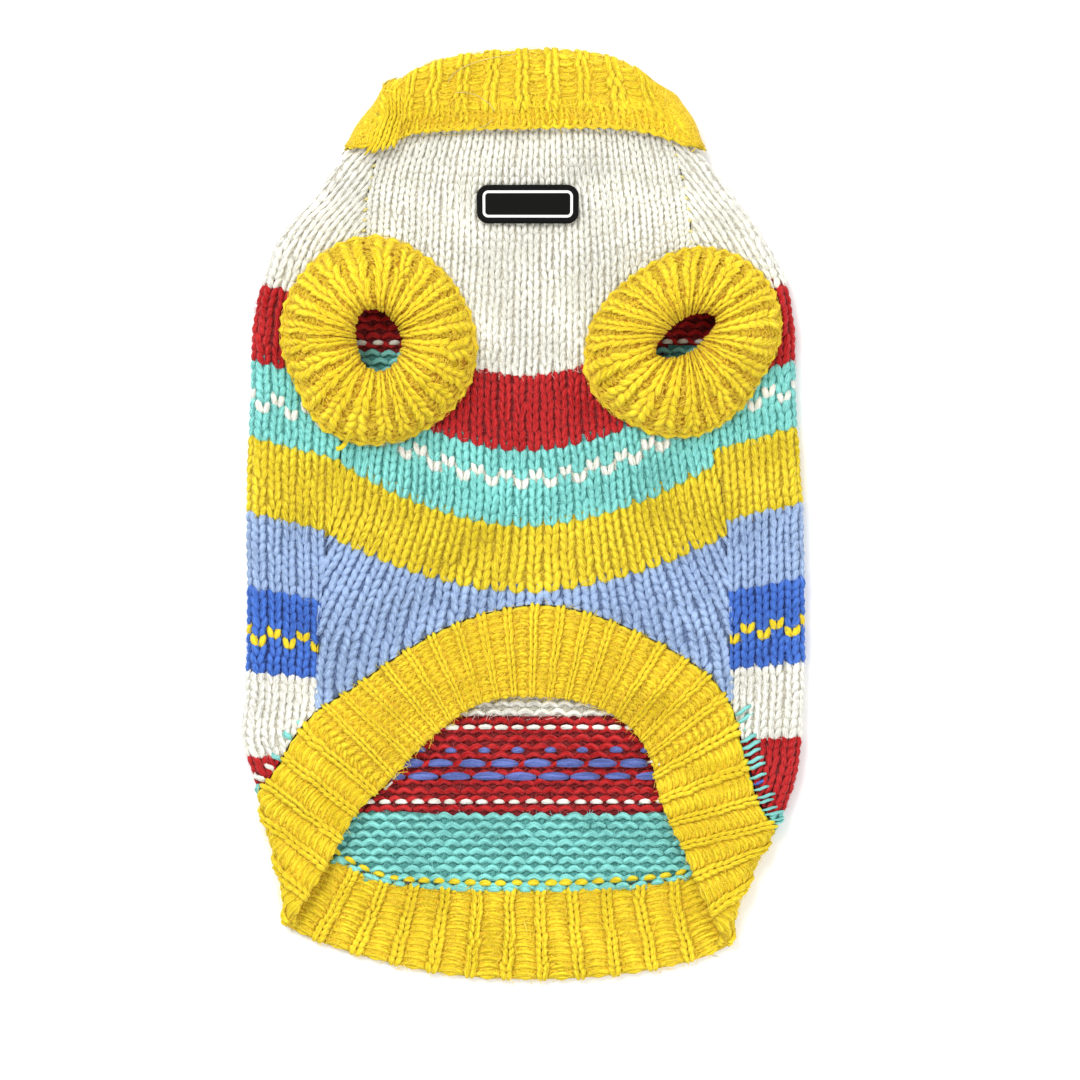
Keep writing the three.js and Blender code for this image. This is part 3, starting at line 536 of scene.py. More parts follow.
DYES = {
    "cream": linear(239, 237, 226),
    "red": linear(184, 10, 16),
    "teal": linear(130, 211, 204),
    "yellow": linear(242, 210, 28),
    "periwinkle": linear(155, 179, 216),
    "royal": linear(62, 110, 200),
    "violet": linear(92, 108, 178),
    "thread": linear(240, 226, 150),
    "amber": linear(232, 190, 26),
    "straw": linear(227, 202, 30),
}
# Darker copies of the dyes for the cloth under the stitches: painted shade where the cloth shows in the gaps between
# stitches and ribs.
PAINTED_GAP_SHADES = {
    "cream": linear(205, 200, 184),
    "red": linear(120, 8, 14),
    "teal": linear(84, 158, 152),
    "yellow": linear(236, 196, 26),
    "periwinkle": linear(98, 118, 156),
    "royal": linear(32, 60, 124),
    "violet": linear(110, 10, 20),
    "thread": linear(205, 200, 184),
    "amber": linear(206, 150, 10),
    "straw": linear(190, 162, 26),
}
DYE_ORDER = list(DYES)


def node(tree, kind, **values):
    made = tree.nodes.new(kind)
    for key, value in values.items():
        if key in made.inputs.keys():
            made.inputs[key].default_value = value
        else:
            setattr(made, key, value)
    return made


def yarn_material(name, colour, spun=True):
    """Soft acrylic yarn: two twisted plies, streaks of fibre and a light sheen."""
    material = bpy.data.materials.new(name)
    material.use_nodes = True
    tree = material.node_tree
    link = tree.links.new
    shader = tree.nodes["Principled BSDF"]
    place = node(tree, "ShaderNodeTexCoord")
    fibres = node(tree, "ShaderNodeTexNoise", Scale=1500.0, Detail=3.0, Roughness=0.7)
    patches = node(tree, "ShaderNodeTexNoise", Scale=110.0, Detail=2.0)
    link(place.outputs["Object"], fibres.inputs["Vector"])
    link(place.outputs["Object"], patches.inputs["Vector"])
    height = fibres.outputs["Fac"]
    if spun:
        around = node(tree, "ShaderNodeUVMap", uv_map="yarn")
        stretch = node(tree, "ShaderNodeVectorMath", operation="MULTIPLY")
        stretch.inputs[1].default_value = (9.0, 1.3, 1.0)
        offset = node(tree, "ShaderNodeVectorMath", operation="MULTIPLY_ADD")
        offset.inputs[1].default_value = (90.0, 90.0, 90.0)
        streaks = node(tree, "ShaderNodeTexNoise", Scale=1.0, Detail=3.0, Roughness=0.6)
        link(around.outputs["UV"], stretch.inputs[0])
        link(place.outputs["Object"], offset.inputs[0])
        link(stretch.outputs["Vector"], offset.inputs[2])
        link(offset.outputs["Vector"], streaks.inputs["Vector"])
        both = node(tree, "ShaderNodeMix", data_type="FLOAT")
        both.inputs[0].default_value = 0.7
        link(fibres.outputs["Fac"], both.inputs[2])
        link(streaks.outputs["Fac"], both.inputs[3])
        height = both.outputs[0]
    blend = node(tree, "ShaderNodeMix", data_type="FLOAT")
    blend.inputs[0].default_value = 0.08
    link(height, blend.inputs[2])
    link(patches.outputs["Fac"], blend.inputs[3])
    ramp = node(tree, "ShaderNodeValToRGB")
    low, high = ramp.color_ramp.elements
    low.position, high.position = 0.4, 0.6
    low.color = (*[c * 0.62 for c in colour[:3]], 1)
    high.color = (*[min(1.0, c * 1.14 + 0.03) for c in colour[:3]], 1)
    link(blend.outputs[0], ramp.inputs["Fac"])
    link(ramp.outputs["Color"], shader.inputs["Base Color"])
    bump = node(tree, "ShaderNodeBump", Strength=0.9, Distance=0.0006)
    link(height, bump.inputs["Height"])
    link(bump.outputs["Normal"], shader.inputs["Normal"])
    shader.inputs["Roughness"].default_value = 0.95
    shader.inputs["Specular IOR Level"].default_value = 0.15
    shader.inputs["Sheen Weight"].default_value = 0.18
    shader.inputs["Sheen Roughness"].default_value = 0.5
    shader.inputs["Sheen Tint"].default_value = (*[min(1.0, 0.35 + c) for c in colour[:3]], 1)
    return material


YARN = {name: yarn_material(f"{name}_yarn", colour) for name, colour in DYES.items()}
# Materials of the painted gap shade, for the cloth under the stitches.
GAP_SHADE_MATERIALS = {name: yarn_material(f"{name}_ground", colour, spun=False) for name, colour in PAINTED_GAP_SHADES.items()}


def fluff_material(name, colour):
    """The paler look of single fibres that stand off the yarn."""
    material = bpy.data.materials.new(name)
    material.use_nodes = True
    shader = material.node_tree.nodes["Principled BSDF"]
    shader.inputs["Base Color"].default_value = (*[min(1.0, c * 1.05 + 0.07) for c in colour[:3]], 1)
    shader.inputs["Roughness"].default_value = 1.0
    shader.inputs["Specular IOR Level"].default_value = 0.05
    return material


FLUFF = {name: fluff_material(f"{name}_fluff", colour) for name, colour in DYES.items()}

# Yarn shapes, in millimetres


def yarn_tube(bm, path, radii, sides, squash=1.0):
    """A closed length of yarn along a path, extruded ring by ring, with its own map round and along it."""
    path = [Vector(p) for p in path]
    frames = []
    for k, point in enumerate(path):
        direction = path[min(k + 1, len(path) - 1)] - path[max(k - 1, 0)]
        turn = direction.to_track_quat("Z", "Y").to_matrix().to_4x4()
        size = Matrix.Diagonal((radii[k], radii[k] * squash, 1, 1))
        frames.append(Matrix.Translation(point) @ turn @ size)
    uv = bm.loops.layers.uv.get("yarn") or bm.loops.layers.uv.new("yarn")
    first = bmesh.ops.create_circle(bm, cap_ends=True, segments=sides, radius=1.0)["verts"]
    start = set(first)
    edges = [e for e in bm.edges if e.verts[0] in start and e.verts[1] in start]
    spot = {vertex: (k / sides, 0.0) for k, vertex in enumerate(first)}
    bmesh.ops.transform(bm, matrix=frames[0], verts=first)
    for k, (before, after) in enumerate(zip(frames, frames[1:]), 1):
        made = bmesh.ops.extrude_edge_only(bm, edges=edges)["geom"]
        ring = {g for g in made if isinstance(g, bmesh.types.BMVert)}
        edges = [g for g in made if isinstance(g, bmesh.types.BMEdge) and set(g.verts) <= ring]
        for vertex in ring:
            below = next(e.other_vert(vertex) for e in vertex.link_edges if e.other_vert(vertex) not in ring)
            spot[vertex] = (spot[below][0], k / (len(frames) - 1))
        bmesh.ops.transform(bm, matrix=after @ before.inverted(), verts=list(ring))
    bmesh.ops.edgeloop_fill(bm, edges=edges)
    for face in {f for vertex in spot for f in vertex.link_faces}:
        turns = [spot[loop.vert][0] for loop in face.loops]
        wraps = max(turns) - min(turns) > 0.5 and len(face.loops) == 4
        for loop, turn in zip(face.loops, turns):
            loop[uv].uv = (turn + 1 if wraps and turn < 0.5 else turn, spot[loop.vert][1])


def unit_mesh(name, lengths, size):
    """One repeat of a knit: lengths of yarn, scaled from millimetres to wales and rows."""
    bm = bmesh.new()
    for length in lengths:
        yarn_tube(bm, *length)
    bmesh.ops.recalc_face_normals(bm, faces=bm.faces)
    bmesh.ops.scale(bm, vec=(size[0], size[1], 1.0), verts=bm.verts)
    mesh = bpy.data.meshes.new(name)
    bm.to_mesh(mesh)
    bm.free()
    return mesh


def knit_stitch(sides=5, fine=True, plump=1.0, slant=1.0):
    """Both legs of a plain stitch, 5.1 mm wide and 3.3 mm high, on rows that are counted down the garment."""
    path = [(0.45, -2.5, -0.55), (0.75, -1.45, 0.15), (1.12, -0.15, 0.42), (1.48, 1.05, 0.25), (1.72, 2.2, -0.55)]
    radii = [0.6, 0.95, 1.06, 0.98, 0.6]
    if not fine:
        path, radii = path[::2], [0.75, 1.15, 0.75]
    path = [(1.2 + (x - 1.15) * slant, -y, z) for x, y, z in path]
    radii = [r * plump for r in radii]
    mirrored = [(-x, y, z) for x, y, z in path]
    return [(path, radii, sides, 0.95), (mirrored, radii, sides, 0.95)]


def purl_wave():
    """The wave that one stitch shows on its purl side: up over the middle, down between two stitches."""
    path = [(2.9 * x, -0.62 * math.cos(math.pi * x), 0.4 - 0.6 * x * x) for x in (-1, -0.62, -0.32, 0, 0.32, 0.62, 1)]
    return [(path, [0.88, 1.0, 1.06, 1.1, 1.06, 1.0, 0.88], 5, 0.9)]


def float_yarn(reach, plump=1.0):
    """A strand that passes behind some stitches, seen on the inside."""
    path = [(-reach, 0.35, -0.5), (-reach * 0.55, 0.1, 0.35), (0.0, -0.05, 0.5), (reach * 0.55, 0.1, 0.35),
            (reach, 0.35, -0.5)]
    return [(path, [r * plump for r in (0.6, 1.1, 1.3, 1.1, 0.6)], 6, 0.7)]


def edge_loop():
    """One scallop of a bound-off edge."""
    path = [(-1.7, 1.0, -0.3), (-1.15, -0.2, 0.3), (0.0, -0.75, 0.5), (1.15, -0.2, 0.3), (1.7, 1.0, -0.3)]
    return [(path, [0.5, 0.72, 0.8, 0.72, 0.5], 5, 1.0)]


def rim_loop():
    """One scallop of a cuff's rim, bowed outward."""
    path = [(-1.75, 0.4, -1.2), (-1.15, 0.0, 0.3), (0.0, -0.25, 1.05), (1.15, 0.0, 0.3), (1.75, 0.4, -1.2)]
    return [(path, [0.6, 0.9, 1.0, 0.9, 0.6], 5, 1.0)]


def ladder_rung():
    """One row of the sunk block between two ribs: a wide arc over a shorter one."""
    upper = [(-2.7, 0.55, 0.1), (-1.5, -0.15, 0.25), (0.0, -0.45, 0.35), (1.5, -0.15, 0.25), (2.7, 0.55, 0.1)]
    lower = [(-1.9, 0.55, -0.3), (0.0, 0.95, 0.1), (1.9, 0.55, -0.3)]
    return [(upper, [0.5, 0.78, 0.86, 0.78, 0.5], 5, 1.0), (lower, [0.45, 0.78, 0.45], 5, 1.0)]


def fibre():
    """A loose fibre that stands off the yarn."""
    return [([(-1.6, 0.0, 0.0), (1.5, 0.0, 0.8)], [0.085, 0.045], 3, 1.0)]


# Making and laying a swatch


def repeat(name, unit, columns, rows, first):
    """The unit repeated over a flat swatch, one for each whole number of wales and rows."""
    obj = bpy.data.objects.new(name, unit)
    bpy.context.scene.collection.objects.link(obj)
    for axis, count in ((0, columns), (1, rows)):
        array = obj.modifiers.new("repeat", "ARRAY")
        array.count = count
        array.use_relative_offset = False
        array.use_constant_offset = True
        array.constant_offset_displace = [1.0 if k == axis else 0.0 for k in range(3)]
    graph = bpy.context.evaluated_depsgraph_get()
    mesh = bpy.data.meshes.new_from_object(obj.evaluated_get(graph))
    mesh.name = name
    obj.modifiers.clear()
    obj.data = mesh
    mesh.transform(Matrix.Translation((*first, 0)))
    return obj


def points_of(mesh):
    flat = np.empty(len(mesh.vertices) * 3)
    mesh.vertices.foreach_get("co", flat)
    return flat.reshape(-1, 3)


PRESS_HEIGHT, PRESS_DEPTH = 0.3, 0.8


def put_points(mesh, points_mm):
    """Moves a mesh's points to the laid garment, which presses flat on the table under it."""
    points_mm = np.array(points_mm)
    low = points_mm[:, 2] < PRESS_HEIGHT
    points_mm[low, 2] = PRESS_HEIGHT * np.exp((points_mm[low, 2] - PRESS_HEIGHT) / PRESS_DEPTH)
    metres = (points_mm + np.array(ORIGIN_SHIFT)) * MM
    mesh.vertices.foreach_set("co", metres.astype(np.float32).ravel())
    mesh.update()


def knit(name, lengths, columns, rows, place, *, size=(1 / WALE, 1 / ROW), first=(0.5, 0.5), lift=0.55,
         keep=None, dye=None, rise=None, relief=None, seed=1, loose=0.05, stagger=0.0):
    """Lays a swatch of stitches on the cloth: place says where, keep which of them, dye their colour."""
    unit = unit_mesh(name + "_unit", lengths, size)
    per_vertex, per_face = len(unit.vertices), len(unit.polygons)
    obj = repeat(name, unit, columns, rows, first)
    mesh = obj.data
    flat = points_of(mesh)
    count = columns * rows
    rng = np.random.default_rng(seed)
    stitch = np.repeat(np.arange(count), per_vertex)
    wale, row = np.arange(count) % columns + first[0], np.arange(count) // columns + first[1]
    stagger = np.arange(count) // columns % 2 * stagger
    shift = rng.normal(0, loose, (count, 3)) * np.array([0.7, 0.7, 2.2])
    plump = 1 + rng.normal(0, 0.05, count)
    centre = np.stack([wale, row], -1)[stitch]
    local = flat[:, :2] - centre
    at = centre + local * plump[stitch, None] + shift[stitch, :2]
    at[:, 0] += stagger[stitch]
    height = plump if relief is None else plump * relief(wale, row)
    out = flat[:, 2] * height[stitch] + lift + shift[stitch, 2]
    if rise is not None:
        out = out + rise(wale, row)[stitch]
    put_points(mesh, place(at[:, 0], at[:, 1], out))
    names = DYE_ORDER if dye is not None else ["yellow"]
    for colour in names:
        mesh.materials.append(YARN[colour])
    if dye is not None:
        index = dye(wale, row)
        mesh.polygons.foreach_set("material_index", np.repeat(index, per_face).astype(np.int32))
    mesh.polygons.foreach_set("use_smooth", np.ones(len(mesh.polygons), bool))
    if keep is not None:
        kept = keep(wale, row)[stitch]
        bm = bmesh.new()
        bm.from_mesh(mesh)
        bm.verts.ensure_lookup_table()
        bmesh.ops.delete(bm, geom=[v for v, stays in zip(bm.verts, kept) if not stays], context="VERTS")
        bm.to_mesh(mesh)
        bm.free()
    bpy.data.meshes.remove(unit)
    return obj


def shell(name, across, down, place, *, thickness=1.8, middle=-0.4, keep=None, dye=None,
          colour="yellow", rise=None):
    """The cloth under the stitches: a grid laid on the surface, then given its thickness, in darker copies of the yarn
    colours as painted shade where it shows between the stitches.
    """
    bm = bmesh.new()
    bmesh.ops.create_grid(bm, x_segments=across[2], y_segments=down[2], size=0.5)
    mesh = bpy.data.meshes.new(name)
    bm.to_mesh(mesh)
    bm.free()
    flat = points_of(mesh)
    u = mix(across[0], across[1], flat[:, 0] + 0.5)
    v = mix(down[0], down[1], 0.5 - flat[:, 1])
    out = middle + (rise(u, v) if rise is not None else 0 * u)
    put_points(mesh, place(u, v, out))
    for shade in (DYE_ORDER if dye is not None else [colour]):
        mesh.materials.append(GAP_SHADE_MATERIALS[shade])
    bm = bmesh.new()
    bm.from_mesh(mesh)
    bm.faces.ensure_lookup_table()
    corners = [[v.index for v in face.verts] for face in bm.faces]
    middle_u = np.array([u[c].mean() for c in corners])
    middle_v = np.array([v[c].mean() for c in corners])
    if dye is not None:
        for face, index in zip(bm.faces, dye(middle_u, middle_v)):
            face.material_index = int(index)
    if keep is not None:
        stays = keep(middle_u, middle_v)
        bmesh.ops.delete(bm, geom=[f for f, k in zip(bm.faces, stays) if not k], context="FACES")
    bmesh.ops.remove_doubles(bm, verts=bm.verts, dist=1e-6)
    bmesh.ops.recalc_face_normals(bm, faces=bm.faces)
    for face in bm.faces:
        face.smooth = True
    bm.to_mesh(mesh)
    bm.free()
    obj = bpy.data.objects.new(name, mesh)
    bpy.context.scene.collection.objects.link(obj)
    wall = obj.modifiers.new("wall", "SOLIDIFY")
    wall.thickness = thickness * MM
    wall.offset = 0.0
    graph = bpy.context.evaluated_depsgraph_get()
    obj.data = bpy.data.meshes.new_from_object(obj.evaluated_get(graph))
    obj.modifiers.clear()
    return obj


def pick(*choices, otherwise):
    """Index of the first colour whose condition holds."""
    conditions = [c for c, _ in choices]
    values = [DYE_ORDER.index(name) for _, name in choices]
    return np.select(conditions, values, DYE_ORDER.index(otherwise))


def one_colour(name):
    return lambda wale, row: np.full(len(wale), DYE_ORDER.index(name))


# Belly
STITCH_HOLE_MARGIN, CLOTH_HOLE_MARGIN = 5.2, 3.6


def in_cuff_hole(x, y, margin):
    inside = np.zeros(np.shape(x), bool)
    for cuff in (CUFF_LEFT, CUFF_RIGHT):
        dx, dy = x - cuff["x"], y - cuff["y"]
        inside |= np.hypot(dx, dy) < cuff_radius(cuff, "hole", np.degrees(np.arctan2(dy, dx))) + margin
    return inside


def belly_dye(wale, row):
    y = NECK_EDGE["middle_y"] - row * ROW
    row_number = np.floor(row)
    odd = np.floor(wale) % 2 == 1
    fleck = (row_number == BELLY_FLECK_ROW) & odd | (row_number == BELLY_FLECK_ROW + 1) & ~odd
    return pick((y > 47.8, "cream"), (y > 24.0, "red"), (fleck, "cream"), (y > -2.2, "teal"),
                (y > -25.6, "straw"), otherwise="periwinkle")


def belly_keep(margin, edge):
    def keep(wale, row):
        x, y, share, _ = belly_y(wale, row)
        arch = along(BELLY_HEM, "seam_x", "seam_y", x)
        between_seams = (share > -edge / BELLY_WALES) & (share < 1 + edge / BELLY_WALES)
        fits = between_seams & (y > arch + margin) & (y < neck_edge_y(x) + 1.0)
        return fits & ~in_cuff_hole(x, y, STITCH_HOLE_MARGIN)

    return keep


BELLY_ROWS = 76
BODY_STITCH = knit_stitch(plump=1.05, slant=0.75)
belly_stitches = knit("belly_stitches", BODY_STITCH, BELLY_WALES + 8, BELLY_ROWS, belly_place, first=(-3.5, 0.5),
                      keep=belly_keep(-1.9, 0.3), dye=belly_dye, seed=3)


def belly_shell_place(across, down, out):
    """Across from seam to seam and down from the neck to the arch, as a share of each."""
    arch_y = -60.0 + 0 * across
    neck_y = 135.0 + 0 * across
    for _ in range(8):
        arch_y = along(BELLY_HEM, "seam_x", "seam_y", mix(seam_at(-1, arch_y) + 0.2, seam_at(1, arch_y) - 0.2, across))
        neck_y = neck_edge_y(mix(seam_at(-1, neck_y) + 0.2, seam_at(1, neck_y) - 0.2, across))
    y = mix(neck_y, arch_y + 0.4, down)
    x = mix(seam_at(-1, y) + 0.2, seam_at(1, y) - 0.2, across)
    return laid(1, fold_at(1, y) - x, y, out)


def belly_shell_xy(across, down):
    points = belly_shell_place(across, down, 0.0)
    return points[..., 0], points[..., 1]


def belly_shell_dye(across, down):
    x, y = belly_shell_xy(across, down)
    reach = np.where(x < 0, x / seam_at(-1, y), x / seam_at(1, y))
    centre_y = y + 0.0
    for _ in range(12):
        sag = along(BELLY_SAG, "y", "sag", centre_y) * np.minimum(1.2, np.abs(reach)) ** SAG_POWER
        centre_y = 0.5 * centre_y + 0.5 * (y - sag)
    return belly_dye(0 * centre_y + 0.5, (NECK_EDGE["middle_y"] - centre_y) / ROW + 0.35)


def belly_shell_keep(across, down):
    return ~in_cuff_hole(*belly_shell_xy(across, down), CLOTH_HOLE_MARGIN)


belly_cloth = shell("belly_cloth", (0, 1, 64), (0, 1, 88), belly_shell_place, keep=belly_shell_keep,
                    dye=belly_shell_dye)

# Back: two flaps on top, the underside and the inside
FLAP_STRIPES = {  # where each stripe ends at the fold, from cream at the neck to red at the hem
    -1: (81.7, 54.8, 27.5, 0.5, -25.7, -54.4, -83.5, -94.0),
    1: (82.8, 53.4, 30.3, 4.0, -21.4, -51.4, -77.4, -104.0),
}
TEAL_FLECK_Y, ROYAL_FLECK_Y = 43.3, -38.2
UNDER_SAG, UNDER_SAG_POWER = 8.0, 0.7


def flap_dye_at(side, fold_y, wale, row_number):
    odd = np.floor(wale) % 2 == 1
    white, red, teal, yellow, blue, royal, low_white, low_red = FLAP_STRIPES[side]
    teal_row = math.floor((BACK_TOP - TEAL_FLECK_Y) / ROW) - (side > 0)
    royal_row = math.floor((BACK_TOP - ROYAL_FLECK_Y) / ROW) - (side > 0)
    teal_fleck = (row_number == teal_row) & odd | (row_number == teal_row + 1) & ~odd
    royal_fleck = (row_number == royal_row) & odd | (row_number == royal_row + 1) & ~odd
    return pick((teal_fleck, "cream"), (royal_fleck, "yellow"), (fold_y > white, "cream"), (fold_y > red, "red"),
                (fold_y > teal, "teal"), (fold_y > yellow, "straw"), (fold_y > blue, "periwinkle"),
                (fold_y > royal, "royal"), (fold_y > low_white, "cream"), (fold_y > low_red, "red"),
                otherwise="teal")


def hem_seam_y(side, inward):
    rows = BACK_HEM_LEFT if side < 0 else BACK_HEM_RIGHT
    order = np.argsort(rows["seam_in"])
    return np.interp(inward, rows["seam_in"][order], rows["seam_y"][order])


FLAP_WALES = 9
BACK_ROWS = 80


def flap_knit(side, name):
    def keep(wale, row):
        inward = wale * WALE - FLAP_START
        y, _ = flap_y(inward, row)
        width = np.abs(fold_at(side, y) - seam_at(side, y))
        x = fold_at(side, y) - side * inward
        fits = (inward < width + 0.9) & (y > hem_seam_y(side, inward) - 1.6) & (y < neck_edge_y(x) + 1.0)
        return fits & ~in_cuff_hole(x, y, STITCH_HOLE_MARGIN)

    def dye(wale, row):
        return flap_dye_at(side, BACK_TOP - row * ROW, wale, np.floor(row))

    return knit(name, BODY_STITCH, FLAP_WALES, BACK_ROWS, flap_place(side), keep=keep, dye=dye, seed=7 + side)


flap_left = flap_knit(-1, "left_flap_stitches")
flap_right = flap_knit(1, "right_flap_stitches")


def under_keep(wale, row):
    points = back_place(wale, row, 0.0)
    x, y = points[..., 0], points[..., 1]
    side = np.where(x < 0, -1, 1)
    inward = -np.abs(fold_at(side, y) - x)
    hem = np.where(x < 0, hem_seam_y(-1, inward), hem_seam_y(1, inward))
    return (y > hem + 0.9) & (y < neck_edge_y(x) + 0.5)


def under_dye(wale, row):
    y = BACK_TOP - row * ROW
    rise = UNDER_SAG * np.sin(np.clip(wale / BACK_WALES, 0, 1) * math.pi) ** UNDER_SAG_POWER
    fold_y = y - rise
    return flap_dye_at(-1, fold_y, wale, np.floor((BACK_TOP - fold_y) / ROW))


under_stitches = knit("back_outside_stitches", knit_stitch(3, fine=False), BACK_WALES, BACK_ROWS, back_place, lift=0.35,
                      keep=under_keep, dye=under_dye, seed=11)


def back_shell_place(station, down, out):
    """Station runs 0..1 over the left flap, 1..2 over the left roll, 2..4 underneath, 4..5 and 5..6 on the right."""
    side = np.where(station < 3, -1.0, 1.0)
    from_seam = np.where(side < 0, station, 6 - station)

    def reach(y):
        quarter = quarter_roll(y)
        width = np.abs(fold_at(side, y) - seam_at(side, y)) - 0.2
        half = (fold_at(1, y) - fold_at(-1, y)) / 2
        flap = mix(width, quarter, np.clip(from_seam, 0, 1))
        roll = mix(quarter, -quarter, np.clip(from_seam - 1, 0, 1))
        base = -mix(quarter, half, np.clip(from_seam - 2, 0, 1))
        return np.where(from_seam < 1, flap, np.where(from_seam < 2, roll, base))

    hem_y = -100.0 + 0 * station
    neck_y = 133.0 + 0 * station
    for _ in range(8):
        hem_y = np.where(side < 0, hem_seam_y(-1, reach(hem_y)), hem_seam_y(1, reach(hem_y)))
        neck_y = neck_edge_y(fold_at(side, neck_y) - side * np.abs(reach(neck_y)))
    y = mix(neck_y, hem_y + 0.4, down)
    return laid(side, reach(y), y, out)


def back_shell_dye(station, down):
    points = back_shell_place(station, down, 0.0)
    y = points[..., 1]
    from_seam = np.where(station < 3, station, 6 - station)
    drop = along(FLAP_DROP, "y", "drop", y) * np.clip(1 - from_seam, 0, 1)
    rise = UNDER_SAG * np.clip(from_seam - 2, 0, 1) ** UNDER_SAG_POWER
    fold_y = y + drop - rise
    left = flap_dye_at(-1, fold_y, 0 * y, -1 + 0 * y)
    right = flap_dye_at(1, fold_y, 0 * y, -1 + 0 * y)
    inside = inside_dye(0.0)(0.5 + 0 * y, -y / INSIDE_ROW)
    return np.where(from_seam > 2, inside, np.where(station < 3, left, right))


def back_shell_keep(station, down):
    points = back_shell_place(station, down, 0.0)
    upper = (station < 1.2) | (station > 4.8)
    return ~(upper & in_cuff_hole(points[..., 0], points[..., 1], CLOTH_HOLE_MARGIN))


def inside_dye(first_y):
    def dye(wale, row):
        y = first_y - row * INSIDE_ROW
        return pick((y > 58.5, "red"), (y > 0, "teal"), (y > -70.5, "cream"), (y > -103.8, "red"), otherwise="teal")

    return dye


def above_hem(place, margin):
    def keep(wale, row):
        points = place(wale, row, 0.0)
        x, y = points[..., 0], points[..., 1]
        inward = -np.abs(fold_at(np.where(x < 0, -1, 1), y) - x)
        hem = np.where(x < 0, hem_seam_y(-1, inward), hem_seam_y(1, inward))
        return (y > hem + margin) & (inward < -6.0)

    return keep


def inside_knit(name, first_x, first_y, wales, rows, seed):
    place = inside_place(first_x, first_y)
    return knit(name, purl_wave(), wales, rows, place, lift=1.05, keep=above_hem(place, -1.6), seed=seed,
                dye=inside_dye(first_y), size=(1 / INSIDE_WALE, 1 / INSIDE_ROW), loose=0.055, stagger=0.5)


back_cloth = shell("back_cloth", (0, 6, 96), (0, 1, 76), back_shell_place, keep=back_shell_keep,
                   dye=back_shell_dye, thickness=1.3, middle=-0.1)
inside_rear = inside_knit("back_inside_stitches", INSIDE_LEFT, INSIDE_TOP, 28, 26, 13)
inside_left = inside_knit("inside_under_left_cuff", -67.9, 77.0, 6, 10, 14)
inside_right = inside_knit("inside_under_right_cuff", 39.4, 78.0, 6, 10, 15)


def inside_strands(name, first_x, middle_y, count, wales, reach, plump, colour, seed):
    """Strands of a second colour along one row, one for every few wales."""
    def place(strand, row, out):
        return inside_place(first_x, middle_y)(strand * wales, row, out)

    return knit(name, float_yarn(reach, plump), count, 1, place, size=(1 / (wales * INSIDE_WALE), 1 / INSIDE_ROW),
                first=(0.5, 0.0), lift=1.95, keep=above_hem(place, 0.4), seed=seed, loose=0.03,
                dye=one_colour(colour))


inside_bits = [
    inside_strands("inside_flecks_upper", INSIDE_LEFT, -73.8, 28, 1, 2.6, 0.8, "cream", 16),
    inside_strands("inside_dots", -77.0, -81.8, 14, 2, 2.0, 0.95, "violet", 17),
    inside_strands("inside_strands_upper", -81.6, -86.4, 14, 2, 5.0, 1.4, "violet", 18),
    inside_strands("inside_strands_lower", -75.9, -91.0, 14, 2, 5.0, 1.25, "violet", 19),
    inside_strands("inside_flecks_lower", -80.6, -99.9, 28, 1, 2.0, 0.75, "cream", 20),
    inside_strands("inside_flecks_left", -66.0, 61.0, 5, 1, 2.0, 0.8, "cream", 25),
    inside_strands("inside_flecks_right", 41.0, 61.5, 5, 1, 2.0, 0.8, "cream", 26),
]

# Hem bands


belly_hem_cloth = shell("belly_hem_cloth", (0.04, BELLY_HEM_RIBS - 0.04, 180), (0.1, HEM_ROWS, 14), belly_hem_place,
                        rise=lambda u, v: rib_rise(u), middle=-0.6)
HEM_STITCH = knit_stitch(plump=1.12, slant=0.6)
belly_hem_ribs = knit("belly_hem_ribs", HEM_STITCH, BELLY_HEM_RIBS, HEM_ROWS, belly_hem_place,
                      size=(0.38 / WALE, 1 / ROW), first=(0.5, 0.35), lift=0.5, rise=lambda u, v: RIB_RISE + 0 * u,
                      seed=21, loose=0.025)
belly_hem_rungs = knit("belly_hem_rungs", ladder_rung(), BELLY_HEM_RIBS + 1, HEM_ROWS, belly_hem_place,
                       size=(0.7 / 5.6, 1 / 2.4), first=(0.0, 0.5), lift=0.6, seed=22, loose=0.03)

RIBS_BACK = 2 * BACK_HEM_HALF_RIBS
back_hem_cloth = shell("back_hem_cloth", (0.04, RIBS_BACK - 0.04, 240), (0.1, HEM_ROWS, 16), back_hem_place,
                       middle=0.0, thickness=2.0)


def hem_face_keep(outer):
    def keep(station, row):
        _, inward, y = back_hem_at(station, row)
        quarter = quarter_roll(y)
        return (inward > -quarter * 1.3) if outer else (inward < quarter * 0.9)

    return keep


back_hem_pieces = []
for outer in (True, False):
    facing = 1 if outer else -1
    label = "outer" if outer else "inner"

    def face_place(station, row, out, facing=facing):
        return back_hem_place(station, row, facing * out)

    ribs = knit(f"back_hem_{label}_ribs", HEM_STITCH, RIBS_BACK, HEM_ROWS, face_place, size=(0.36 / WALE, 1 / ROW),
                first=(0.5, 0.45), lift=0.9, keep=hem_face_keep(outer), rise=lambda u, v: RIB_RISE * 0.8 + 0 * u,
                seed=23, loose=0.025)
    rungs = knit(f"back_hem_{label}_rungs", ladder_rung(), RIBS_BACK + 1, HEM_ROWS, face_place,
                 size=(0.72 / 5.6, 1 / 2.4), first=(0.0, 0.5), lift=0.8, keep=hem_face_keep(outer), seed=24,
                 loose=0.025)
    back_hem_pieces += [ribs, rungs]

PICKED_UP = 2  # loops to a rib


def picked_up_place(loop, row, out):
    return back_hem_place(loop / PICKED_UP, row, -out)


def picked_up_keep(loop, row):
    return hem_face_keep(False)(loop / PICKED_UP, row)


